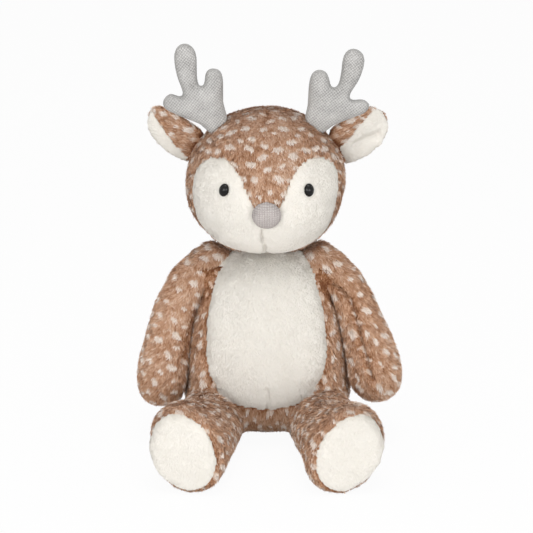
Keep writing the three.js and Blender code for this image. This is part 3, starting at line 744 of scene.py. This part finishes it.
def pile_tree(name, tone, length, width, per_cm2, lean, stray, seed, slant=0.0, spot=1.0, twist=0.7):
    """Keeps the skin and grows fibres on its outer side; spot is how large the spots are."""
    tree = bpy.data.node_groups.new(name, "GeometryNodeTree")
    for way in ("INPUT", "OUTPUT"):
        tree.interface.new_socket("Geometry", in_out=way, socket_type="NodeSocketGeometry")
    g = Graph(tree)
    skin = g.out("NodeGroupInput")
    skin = stored(g, skin, "up", g.out("GeometryNodeInputNormal"), "FLOAT_VECTOR")
    outer = g.times(attribute(g, "pile"), per_cm2 * 10000.0)
    which = g.out("GeometryNodeInputMaterialIndex")
    on_top = g.out("FunctionNodeCompare", {"data_type": "INT", "operation": "EQUAL"}, i2=which, i3=0)
    strew = g.add("GeometryNodeDistributePointsOnFaces", {"distribute_method": "RANDOM"}, Mesh=skin, Seed=seed)
    g.feed(strew.inputs["Selection"], on_top)
    g.feed(strew.inputs["Density"], outer)
    place = g.out("GeometryNodeInputPosition")
    up = g.vector("NORMALIZE", attribute(g, "up", "FLOAT_VECTOR"))
    turned = stance(g, place, up, lean, stray, twist, seed)
    crease = attribute(g, "crease")
    size = blade_size(g, place, crease, length, width, seed)
    # Painted shade: the tone drops with the square of the crease.
    painted_shade = g.times(g.times(crease, crease), CREASE_PAINTED_SHADE)
    shade = g.math("SUBTRACT", tone(g, skin, place, up, seed, slant, spot), painted_shade)
    blade = g.add("GeometryNodeObjectInfo", {"transform_space": "ORIGINAL"}, Object=pile_blade)
    form = blade.outputs["Geometry"]
    grown = g.add("GeometryNodeInstanceOnPoints", Points=strew.outputs["Points"], Instance=form)
    g.feed(grown.inputs["Rotation"], turned)
    g.feed(grown.inputs["Scale"], size)
    grown = grown.outputs[0]
    grown = stored(g, grown, "tone", shade, domain="INSTANCE")
    grown = g.out("GeometryNodeRealizeInstances", Geometry=grown)
    across = g.plus(attribute(g, "tone"), g.times(attribute(g, "side"), 0.012))
    across, along = in_chart(g, across, 0.96, 0.02, True), in_chart(g, attribute(g, "along"), 0.8, 0.15)
    chart = g.out("ShaderNodeCombineXYZ", i0=across, i1=along)
    grown = stored(g, grown, "OFBake", chart, "FLOAT2", "CORNER")
    # The skin under the fibres takes the colour of the roots, with their painted shade.
    below, low = in_chart(g, shade, 0.96, 0.02, True), in_chart(g, noise(g, place, 0.003), 0.12, 0.05)
    ground = g.out("ShaderNodeCombineXYZ", i0=below, i1=low)
    skin = stored(g, skin, "OFBake", ground, "FLOAT2", "CORNER")
    both = g.add("GeometryNodeJoinGeometry")
    tree.links.new(grown, both.inputs[0])
    tree.links.new(skin, both.inputs[0])
    end = both.outputs[0]
    for spare in SPARE:
        end = g.out("GeometryNodeRemoveAttribute", Geometry=end, Name=spare)
    g.add("NodeGroupOutput", i0=end)
    return tree


print("values taken off again at the end:", len(SPARE))

# %% [markdown]
# ## The colour charts
# The brown cloth's chart runs from dark brown through tan to the white of the spots, and its dark
# end also takes the painted shade of creases. The cream cloth's chart is nearly one colour, with a
# dark low end that only the painted shade of creases reaches. Both are darker at the root, a
# painted shade for where little light reaches. A picture could hold such a chart. Two colour ramps
# do the same and stay easy to change.

# %% Looks in short
def new_look(name, roughness, specular):
    """A material, the graph that its colour is built in, and its shader."""
    look = bpy.data.materials.new(name)
    look.use_nodes = True
    shader = look.node_tree.nodes["Principled BSDF"]
    shader.inputs["Roughness"].default_value = roughness
    shader.inputs["Specular IOR Level"].default_value = specular
    return look, Graph(look.node_tree), shader.inputs


def ramp(g, stops, value):
    """The colour that belongs to a value, blended between stops."""
    node = g.add("ShaderNodeValToRGB", i0=value)
    ladder = node.color_ramp
    while len(ladder.elements) > 1:
        ladder.elements.remove(ladder.elements[-1])
    ladder.elements[0].position = stops[0][0]
    ladder.elements[0].color = (*stops[0][1], 1)
    for place, colour in stops[1:]:
        ladder.elements.new(place).color = (*colour, 1)
    return node.outputs[0]


print("ready: new_look and ramp")


# %% Pile materials
def pile_material(name, stops, root, sheen):
    look, g, shader = new_look(name, 0.85, 0.15)
    shader["Sheen Weight"].default_value = sheen
    shader["Sheen Roughness"].default_value = 0.5
    chart = g.out("ShaderNodeUVMap", {"uv_map": "OFBake"})
    split = g.add("ShaderNodeSeparateXYZ", i0=chart)
    # Painted shade: each fibre darkens towards its root, where little light reaches.
    half_up = tuple((1 + 2 * part) / 3 for part in root)
    across = ramp(g, stops, split.outputs[0])
    up = ramp(g, [(0.0, root), (0.45, half_up), (0.95, (1, 1, 1))], split.outputs[1])
    mix = g.add("ShaderNodeMix", {"data_type": "RGBA", "blend_type": "MULTIPLY"}, i0=1, i6=across, i7=up)
    g.feed(shader["Base Color"], mix.outputs[2])
    return look


brown_pile = pile_material(
    "brown_pile",
    [
        (0.0, (0.2, 0.075, 0.03)),
        (0.25, (0.45, 0.24, 0.13)),
        (0.5, (0.68, 0.445, 0.305)),
        (0.7, (0.8, 0.625, 0.495)),
        (0.88, (0.91, 0.83, 0.755)),
        (1.0, (0.94, 0.905, 0.87)),
    ],
    (0.6, 0.48, 0.4),
    0.12,
)
cream_pile = pile_material(
    "cream_pile",
    [
        # Painted shade: only the shade of creases reaches this dark low end.
        (0.0, (0.5, 0.42, 0.35)),
        (0.22, (0.74, 0.7, 0.635)),
        (0.5, (0.79, 0.76, 0.705)),
        (1.0, (0.83, 0.805, 0.76)),
    ],
    (0.97, 0.96, 0.945),
    0.05,
)
print("pile materials:", brown_pile.name, cream_pile.name)

# %% [markdown]
# ## Dressing a skin
# A dressed piece is a thin wall of cloth with the pile on its outer side. The inner side stays
# bare, and so do the roots of the limbs inside the body, where no one sees them and fibres would
# only cost triangles.

# %% Materials, comb and bare places
WALL_DEEP = 0.04


def in_cloth(piece, *looks):
    piece.data.materials.clear()
    for look in looks:
        piece.data.materials.append(look)


def combed(piece, way):
    """Which way the pile leans at each point."""
    lay = piece.data.attributes.new("comb", "FLOAT_VECTOR", "POINT")
    lay.data.foreach_set("vector", np.tile(np.asarray(way, float), len(lay.data)))


def covered_by(piece, nodes, depth):
    """How far each point is free of the named solids, from 0, inside one, to 1."""
    free = np.ones(len(piece.data.vertices))
    where = places(piece)
    for node in nodes:
        tree = surface_of(node)
        for index, point in enumerate(where):
            gap = tree.find_nearest(point)[3]
            if depth < gap < WALL_DEEP and within(tree, point):
                free[index] = 0
    return free


print("ready: in_cloth, combed and covered_by")

# %% Dress a skin in pile
FLOOR_GAP = 0.0002


def in_pile(piece, look, tree, way, hidden=(), depth=0.006, wall=0.0015):
    """Gives a skin its wall and its pile, and makes them one mesh."""
    combed(piece, way)
    free = covered_by(piece, hidden, depth)
    print(piece.name, "points without pile:", int((free == 0).sum()))
    piece.data.attributes.new("pile", "FLOAT", "POINT").data.foreach_set("value", free)
    crease_and_shade(piece)
    in_cloth(piece, look, look)
    if wall:
        solid = piece.modifiers.new("wall", "SOLIDIFY")
        solid.thickness = wall
        solid.offset = -1
        solid.material_offset = solid.material_offset_rim = 1
    grow = piece.modifiers.new("pile", "NODES")
    grow.node_group = tree
    applied(piece)
    where = places(piece)
    where[:, 2] = np.maximum(where[:, 2], FLOOR_GAP)
    put(piece, where)
    in_cloth(piece, look)
    print(piece.name, "faces:", len(piece.data.polygons))


print("least height over the floor in mm:", FLOOR_GAP * 1000)


# %% The cloths
LEAN = 0.95
brown_seat = pile_tree("brown_under_seat", spotted, 0.0012, 0.0006, 60, LEAN, 2.2, 67)
brown_body = pile_tree("brown_on_torso", spotted, 0.0042, 0.0006, 150, LEAN, 1.4, 11, math.pi / 2)
brown_head = pile_tree("brown_on_head", spotted, 0.004, 0.00056, 190, LEAN, 1.4, 23, spot=1.08)
brown_limb = pile_tree("brown_on_limbs", spotted, 0.0042, 0.0006, 190, LEAN, 1.4, 37, 0.6)
brown_ear = pile_tree("brown_on_ears", spotted, 0.0034, 0.00055, 200, LEAN, 1.4, 41)
cream_belly = pile_tree("cream_on_belly", plain_tone, 0.0027, 0.0006, 280, 1.05, 1.8, 47, twist=0.5)
cream_cloth = pile_tree("cream_on_panels", plain_tone, 0.0022, 0.0006, 280, 1.1, 1.6, 53, twist=0.35)
cream_ear = pile_tree("cream_in_ears", plain_tone, 0.0022, 0.0006, 280, 1.1, 1.6, 59, twist=0.25)
print("nodes in a spotted cloth and in a plain one:", len(brown_body.nodes), len(cream_belly.nodes))

# %% [markdown]
# ## Torso and belly
# The torso is one stuffed cover with an off-white panel let into its front. The panel could be laid
# on as a piece of its own, but its edge would then stand proud. So both are blown up as one skin,
# and the edge follows the swell of the body. Round fillers close the sockets of the limbs, which
# lie hidden inside.

# %% Torso skin
joints = {joint["name"]: joint for joint in frame["joints"]}


def ball_filler(place, radius):
    move = Matrix.Translation(place)

    def make(bm):
        bmesh.ops.create_uvsphere(bm, u_segments=24, v_segments=16, radius=radius, matrix=move)

    return make


SOCKET_BALLS = {"shoulder_left": 0.0215, "shoulder_right": 0.0215, "hip_left": 0.0295, "hip_right": 0.0295}
PANEL_TOP, PANEL_WIDER = 0.162, 0.012

sockets = [ball_filler(joints[name]["pos_m"], radius) for name, radius in SOCKET_BALLS.items()]
body = gathered("body_skin", ["torso", "belly_panel", "seat_panel", "pellet_bag"], sockets)
remeshed(body, 0.0045)
twin = twin_of(body)
eased(body, 6)
stuffed(body)
lumpy(body, 0.0016, 0.03, 1)
finer(body)
owner = owners(twin, [("torso", "seat_panel"), ("belly_panel",)])
panel = surface_of("belly_panel")
for side in SIDES:
    hip = joints[f"hip_{side}"]
    room_to_swing(body, hip, -math.radians(hip["range_deg"][1]), f"leg_{side}", 0.001, 0.003, panel)
for polygon in body.data.polygons:
    if polygon.center.z > PANEL_TOP and panel.find_nearest(polygon.center)[3] < PANEL_WIDER:
        owner[polygon.index] = 1
seam = seam_points(body, owner)
# Painted shade along the seam between torso and belly: shorter, darker pile.
drawn_in(body, points_at(body, seam), 0.0022, 0.005, 0.5)
# Painted shade between the arms and the torso, where the arms keep light out: shorter, darker pile over a wide
# reach.
drawn_in(body, touching(body, ["arm_left", "arm_right"], 0.0012), 0.001, 0.005, 0.8, 0.012)
print("torso skin points:", len(body.data.vertices))

# %% Torso and belly pieces
BELLY_DART = [(-2.4, 37), (-1.2, 44), (-0.3, 50), (-1.0, 56), (-2.4, 60)]

torso = piece_from(body, "torso_cover", owner == 0)
belly = piece_from(body, "belly_cover", owner == 1)
bpy.data.objects.remove(body)
dart = front_line(belly, BELLY_DART)
closer(belly, dart, 0.006)
# The dart is drawn in with painted shade, deeper and darker on its lower third.
drawn_in(belly, dart, 0.0014, 0.0014, 0.45, 0.0011)
drawn_in(belly, dart[: len(dart) // 3], 0.002, 0.0016, 0.8, 0.0012)
limbs = ("leg_left", "leg_right", "arm_left", "arm_right")
in_pile(torso, brown_pile, brown_body, (0, 0, -1), hidden=("head", *limbs))
in_pile(belly, cream_pile, cream_belly, (0, 0, -1), hidden=("head",))

# %% [markdown]
# ## Head and cheeks
# The head is a ball of brown cloth with two off-white cheek panels that meet under the nose. The
# cheeks could be coloured onto the ball, but on the toy they are pieces of their own with a seam
# around them. So the head is blown up whole and then cut into three along those seams. The seam
# under the nose bows to one side, as hand-guided sewing leaves it.

# %% Head skin
def rod_filler(joint, radius, length):
    axis = Vector(joint["axis"]).normalized()
    turn = axis.to_track_quat("Z", "Y").to_matrix().to_4x4()
    move = Matrix.Translation(joint["pos_m"]) @ turn
    size = {"radius1": radius, "radius2": radius, "depth": length}

    def make(bm):
        bmesh.ops.create_cone(bm, cap_ends=True, segments=20, matrix=move, **size)

    return make


head_whole = gathered(
    "head_skin",
    ["head", "cheek_left", "cheek_right", "eye_washer_left", "eye_washer_right", "eye_left", "eye_right"],
    [rod_filler(joints[f"ear_flop_{side}"], 0.0052, 0.031) for side in SIDES],
)
remeshed(head_whole, 0.0045)
twin = twin_of(head_whole)
eased(head_whole, 6)
stuffed(head_whole)
lumpy(head_whole, 0.0009, 0.03, 2)
finer(head_whole)
print("head skin points:", len(head_whole.data.vertices))

# %% Cheeks and their seams
FLATTER_BY = 0.0038
MOUTH_SEAM = ([170, 178, 184, 191, 197, 205, 212], [-2.6, -3.2, -4.1, -6.0, -7.2, -5.6, -3.6])
CHIN_TUCK = [(-4.6, 196), (-2.0, 192), (0.5, 190.5)]

where = places(head_whole)
aside, level = np.clip((where[:, 0] - 0.03) / 0.04, 0, 1), (where[:, 2] - 0.212) / 0.03
where[:, 0] -= FLATTER_BY * (aside * np.exp(-(level**2)))
put(head_whole, where)
owner = owners(twin, [("head",), ("cheek_left",), ("cheek_right",)])
for polygon in head_whole.data.polygons:
    x, y, z = polygon.center * 1000
    if owner[polygon.index] and abs(x) < 14 and y < 30:
        owner[polygon.index] = 1 if x > np.interp(z, *MOUTH_SEAM) else 2
edge = seam_points(head_whole, np.minimum(owner, 1))
mouth = sorted(set(seam_points(head_whole, owner)) - set(edge))
# Painted shade along each line: lightly on the seams, the mouth and the chin tuck, darkest at the ear roots,
# and a shadow ring round each eye.
drawn_in(head_whole, points_at(head_whole, edge), 0.002, 0.0045, 0.4)
drawn_in(head_whole, points_at(head_whole, mouth), 0.0012, 0.003, 0.25)
drawn_in(head_whole, front_line(head_whole, CHIN_TUCK), 0.0012, 0.003, 0.3)
drawn_in(head_whole, touching(head_whole, ["ear_left", "ear_right"], 0.0015), 0.0015, 0.004, 1.0, 0.0045)
drawn_in(head_whole, touching(head_whole, ["eye_left", "eye_right"], 0.001), 0.0012, 0.003, 0.5)
print("points on the seam round the cheeks and between them:", len(edge), len(mouth))

# %% Head and cheek pieces
CROWN_SEAM = [(-2.6, 290), (-2.6, 316)]

head = piece_from(head_whole, "head_cover", owner == 0)
cheeks = {}
for number, side in ((1, "left"), (2, "right")):
    cheeks[side] = piece_from(head_whole, f"cheek_{side}_cover", owner == number)
bpy.data.objects.remove(head_whole)
crown = front_line(head, CROWN_SEAM)
closer(head, crown, 0.006)
# The crown seam is drawn in with dark painted shade.
drawn_in(head, crown, 0.002, 0.002, 1.0, 0.003)
in_pile(head, brown_pile, brown_head, (0, -0.5, -0.8), hidden=("torso", "belly_panel"))
for side, cheek in cheeks.items():
    in_pile(cheek, cream_pile, cream_cloth, (0, 0, -1), hidden=("torso",))

# %% [markdown]
# ## Arms
# Each arm is a stuffed tube with a rounded end and a seam along it. On the toy its root is sewn on
# flat and bends. A stiff piece can't bend, so the root is a ball that turns inside the torso, and
# the arm can swing without opening a gap. One more ball fills out the slope of the shoulder.

# %% Arms
ARM_SEAMS = {
    "left": [(45, 151), (58, 144), (71, 133), (75, 118), (81, 94), (85, 82), (89, 67)],
    "right": [(-66, 120), (-72, 98), (-76, 80)],
}
SLOPE_BALL = 0.0175

arms = {}
for side, inwards in (("left", -1), ("right", 1)):
    shoulder = joints[f"shoulder_{side}"]
    slope = Vector(shoulder["pos_m"]) + Vector((inwards * 0.009, 0.002, 0.008))
    arm = gathered(f"arm_{side}_cover", [f"arm_{side}"], [ball_filler(slope, SLOPE_BALL)])
    remeshed(arm, 0.0038)
    eased(arm, 5)
    stuffed(arm)
    lumpy(arm, 0.0013, 0.022, 3)
    finer(arm)
    room_to_swing(arm, shoulder, math.radians(shoulder["range_deg"][0]), "head", 0.006, 0.003)
    seam = front_line(arm, ARM_SEAMS[side])
    closer(arm, seam, 0.007)
    # The seam is drawn in with dark painted shade along it.
    drawn_in(arm, seam, 0.0046, 0.0024, 1.0, 0.0038)
    in_pile(arm, brown_pile, brown_limb, (-0.45 * inwards, 0, -0.9), hidden=("torso",), wall=0)
    arms[side] = arm

# %% [markdown]
# ## Legs and soles
# The legs lie forward on the floor. Each foot ends in an off-white sole that is sewn in all round.
# A flat disc would show its rim, so leg and sole are blown up as one skin, like torso and belly.

# %% Legs
LEAST_HEIGHT = 0.0008
SOLE_WIDER = 0.0006

legs, soles = {}, {}
for side in SIDES:
    whole = gathered(f"leg_{side}_skin", [f"leg_{side}", f"sole_{side}"])
    remeshed(whole, 0.004)
    twin = twin_of(whole)
    eased(whole, 5)
    stuffed(whole)
    lumpy(whole, 0.0014, 0.024, 5)
    finer(whole)
    where = places(whole)
    where[:, 2] = np.maximum(where[:, 2], LEAST_HEIGHT)
    put(whole, where)
    hip = joints[f"hip_{side}"]
    room_to_swing(whole, hip, math.radians(hip["range_deg"][1]), "belly_panel", 0.004)
    owner = owners(twin, [(f"leg_{side}",), (f"sole_{side}",)], SOLE_WIDER)
    seam = seam_points(whole, owner)
    # The seam round the sole is drawn in with painted shade.
    drawn_in(whole, points_at(whole, seam), 0.002, 0.0045, 0.5)
    legs[side] = piece_from(whole, f"leg_{side}_cover", owner == 0)
    soles[side] = piece_from(whole, f"sole_{side}_cover", owner == 1)
    bpy.data.objects.remove(whole)
    in_pile(legs[side], brown_pile, brown_limb, (0, -0.3, -0.8), hidden=("torso",))
    in_pile(soles[side], cream_pile, cream_cloth, (0, 0, -1))

# %% [markdown]
# ## Ears
# An ear is a cupped leaf of brown cloth with an off-white lining inside the cup. The brown folds
# over the rim. Thin cloth could be modelled as a single sheet, but the cup has some filling and is
# seen from both sides. So it is one skin again, shared out between cloth and lining. The left
# lining has a fold, which is drawn in as a line with painted shade along it. The seam and the ear
# root get painted shade too.

# %% Ears
EAR_FOLD = [(75, 261), (86, 266), (95, 269)]
LINING_WIDER = 0.0018

ears, linings = {}, {}
for side in SIDES:
    whole = gathered(f"ear_{side}_skin", [f"ear_{side}", f"ear_lining_{side}"])
    remeshed(whole, 0.0025)
    twin = twin_of(whole)
    eased(whole, 5)
    finer(whole)
    owner = owners(twin, [(f"ear_{side}",), (f"ear_lining_{side}",)], LINING_WIDER)
    seam = seam_points(whole, owner)
    # Painted shade along the lining's seam, and dark painted shade where the ear meets the head.
    drawn_in(whole, points_at(whole, seam), 0.001, 0.003, 0.2)
    drawn_in(whole, touching(whole, ["head"], 0.0015), 0.0005, 0.004, 1.0, 0.0045)
    ears[side] = piece_from(whole, f"ear_{side}_cover", owner == 0)
    linings[side] = piece_from(whole, f"ear_lining_{side}_cover", owner == 1)
    bpy.data.objects.remove(whole)
    if side == "left":
        fold = front_line(linings[side], EAR_FOLD)
        closer(linings[side], fold, 0.006)
        # The fold is drawn in with dark painted shade along it.
        drawn_in(linings[side], fold, 0.003, 0.0035, 1.0, 0.003)
    away = (1, 0, 0.6) if side == "left" else (-1, 0, 0.6)
    in_pile(ears[side], brown_pile, brown_ear, away, hidden=("head",), wall=0.001)
    in_pile(linings[side], cream_pile, cream_ear, away, wall=0.001)

# %% [markdown]
# ## Antlers
# The antlers are cut from grey woven cloth, sewn edge to edge and stuffed firm. A bump map could
# draw the weave, but it would be lost in the finished model. So the threads are raised out of a
# fine skin. Their height is kept at each point, and the material is paler where it is high.

# %% Woven cloth
def threads(piece, height, depth):
    """Raises the threads out of a skin and keeps their height for the colour."""
    where, out = places(piece), outward(piece)
    found = height(where, out)
    put(piece, where + out * (found * depth)[:, None])
    piece.data.attributes.new("thread", "FLOAT", "POINT").data.foreach_set("value", found)


def slanted(size, slant):
    """Threads that cross at a slant, laid on from the side that each point faces."""
    turn = 2 * math.pi / size

    def crossed(across, up):
        warp = across * math.cos(slant) + up * math.sin(slant)
        weft = up * math.cos(slant) - across * math.sin(slant)
        return np.sin(warp * turn) * np.sin(weft * turn)

    def height(where, out):
        x, y, z = where.T
        faces = np.abs(out) ** 6
        side, front, top = (faces / faces.sum(1, keepdims=True)).T
        return front * crossed(x, z) + side * crossed(y, z) + top * crossed(x, y)

    return height


def woven_material(name, dark, pale):
    look, g, shader = new_look(name, 0.85, 0.15)
    place = g.add("ShaderNodeTexCoord").outputs["Object"]
    thread = g.add("ShaderNodeAttribute", {"attribute_name": "thread"}).outputs["Fac"]
    tone = g.plus(0.08, g.times(thread, 0.2))
    tone = g.plus(tone, g.times(noise(g, place, 0.0012, 3.0), 0.45))
    tone = g.plus(tone, g.times(noise(g, place, 0.01, 2.0), 0.3), clamp=True)
    g.feed(shader["Base Color"], ramp(g, [(0.05, dark), (0.95, pale)], tone))
    return look


antler_cloth = woven_material("antler_cloth", (0.1, 0.097, 0.092), (0.72, 0.705, 0.685))
print("woven material:", antler_cloth.name)

# %% Antlers
ANTLER_WEAVE = 0.0028
THREAD_DEEP = 0.0002
HEEL = ball_filler((0.046, 0.044, 0.2868), 0.006)

antlers = {}
for side, slant in (("left", -8), ("right", 8)):
    antler = gathered(f"antler_{side}_cover", [f"antler_{side}"], [HEEL] if side == "left" else [])
    remeshed(antler, 0.001)
    eased(antler, 14)
    stuffed(antler, 0.001)
    finer(antler)
    threads(antler, slanted(ANTLER_WEAVE, math.radians(slant)), THREAD_DEEP)
    in_cloth(antler, antler_cloth)
    antlers[side] = antler
    print(antler.name, "faces:", len(antler.data.polygons))

# %% [markdown]
# ## Nose
# The nose is a ball of knitted cloth. Its stitches stand in upright rows, each a chain of small
# slanted loops. Every loop could be a bent tube, but at this size a relief shows the same, at a
# tenth of the triangles. It is raised in the same way as the weave of the antlers.

# %% Nose
ROW = 0.0021
LOOP = 0.0018


def knitted(where, out):
    x, _, z = where.T
    across = np.abs(np.sin(math.pi * x / ROW))
    loops = np.sin(2 * math.pi * (z + 0.35 * ROW * across) / LOOP)
    return np.sqrt(across) * (0.65 + 0.35 * loops) * 1.6 - 0.8


nose_knit = woven_material("nose_knit", (0.13, 0.114, 0.109), (0.72, 0.66, 0.635))
nose = gathered("nose_ball", ["nose"])
remeshed(nose, 0.0012)
eased(nose, 4)
finer(nose, 2)
threads(nose, knitted, THREAD_DEEP)
in_cloth(nose, nose_knit)
print(nose.name, "faces:", len(nose.data.polygons))

# %% [markdown]
# ## Eyes
# The eyes are moulded in glossy black plastic, each with a shank that a washer locks inside the
# head. They need no new shape, only rounder facets. On the toy they sit at a slant of their own, so
# each is turned about its shank.

# %% Eyes
def plastic(name, roughness, specular, dark, pale, grain):
    look, g, shader = new_look(name, roughness, specular)
    place = g.add("ShaderNodeTexCoord").outputs["Object"]
    g.feed(shader["Base Color"], ramp(g, [(0.3, dark), (0.7, pale)], noise(g, place, grain, 3.0)))
    return look


eye_look = plastic("eye_gloss", 0.08, 0.25, (0.002, 0.002, 0.002), (0.005, 0.0045, 0.004), 0.002)
EYE_TURN = {"left": 30, "right": -45}
eyes = {}
for side in SIDES:
    eye = gathered(f"eye_{side}_dome", [f"eye_{side}"])
    middle = Vector(places(eye).mean(0))
    shank = middle - Vector(places(frame["nodes"][f"eye_washer_{side}"]).mean(0))
    bm = bmesh.new()
    bm.from_mesh(eye.data)
    turn = Matrix.Rotation(math.radians(EYE_TURN[side]), 3, shank)
    bmesh.ops.rotate(bm, cent=middle, matrix=turn, verts=bm.verts)
    bm.to_mesh(eye.data)
    bm.free()
    finer(eye, 2)
    for polygon in eye.data.polygons:
        polygon.use_smooth = True
    in_cloth(eye, eye_look)
    eyes[side] = eye
print("points in an eye:", len(eyes["left"].data.vertices))

# %% [markdown]
# ## Hidden pieces
# Washers, the bag of pellets and the cloth under the seat show in no picture of a sitting deer.
# They could be left out, but the toy would then be built wrong. So they stay, kept simple.

# %% Hidden pieces
CANVAS_WEAVE = 0.006

canvas = woven_material("plain_canvas", (0.5, 0.46, 0.39), (0.68, 0.64, 0.56))
washer_look = plastic("washer_plastic", 0.6, 0.5, (0.03, 0.03, 0.03), (0.06, 0.06, 0.06), 0.001)
for side in SIDES:
    in_cloth(frame["nodes"][f"eye_washer_{side}"], washer_look)
bag = gathered("pellet_pouch", ["pellet_bag"])
remeshed(bag, 0.002)
eased(bag, 4)
threads(bag, slanted(CANVAS_WEAVE, 0), THREAD_DEEP / 2)
in_cloth(bag, canvas)
seat = gathered("seat_cover", ["seat_panel"])
remeshed(seat, 0.0025)
in_pile(seat, brown_pile, brown_seat, (0, 1, 0), wall=0)

# %% [markdown]
# ## What moves with what
# On the toy the limbs, the head and the ears move, and everything sewn to them moves along. The
# covers could be keyed frame by frame. Instead each one rides on the body that it belongs to, so
# that any pose of the plain model carries the whole deer with it.

# %% Bodies
def dressed(piece, nodes, on):
    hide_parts(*nodes)
    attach(piece, on)


dressed(torso, ["torso"], "torso")
dressed(belly, ["belly_panel"], "torso")
dressed(seat, ["seat_panel"], "torso")
dressed(bag, ["pellet_bag"], "torso")
dressed(head, ["head"], "head")
dressed(nose, ["nose"], "head")
for side in SIDES:
    dressed(cheeks[side], [f"cheek_{side}"], "head")
    dressed(eyes[side], [f"eye_{side}"], "head")
    dressed(antlers[side], [f"antler_{side}"], "head")
    dressed(ears[side], [f"ear_{side}"], f"ear_{side}")
    dressed(linings[side], [f"ear_lining_{side}"], f"ear_{side}")
    dressed(arms[side], [f"arm_{side}"], f"arm_{side}")
    dressed(legs[side], [f"leg_{side}"], f"leg_{side}")
    dressed(soles[side], [f"sole_{side}"], f"leg_{side}")
bpy.data.objects.remove(pile_blade)
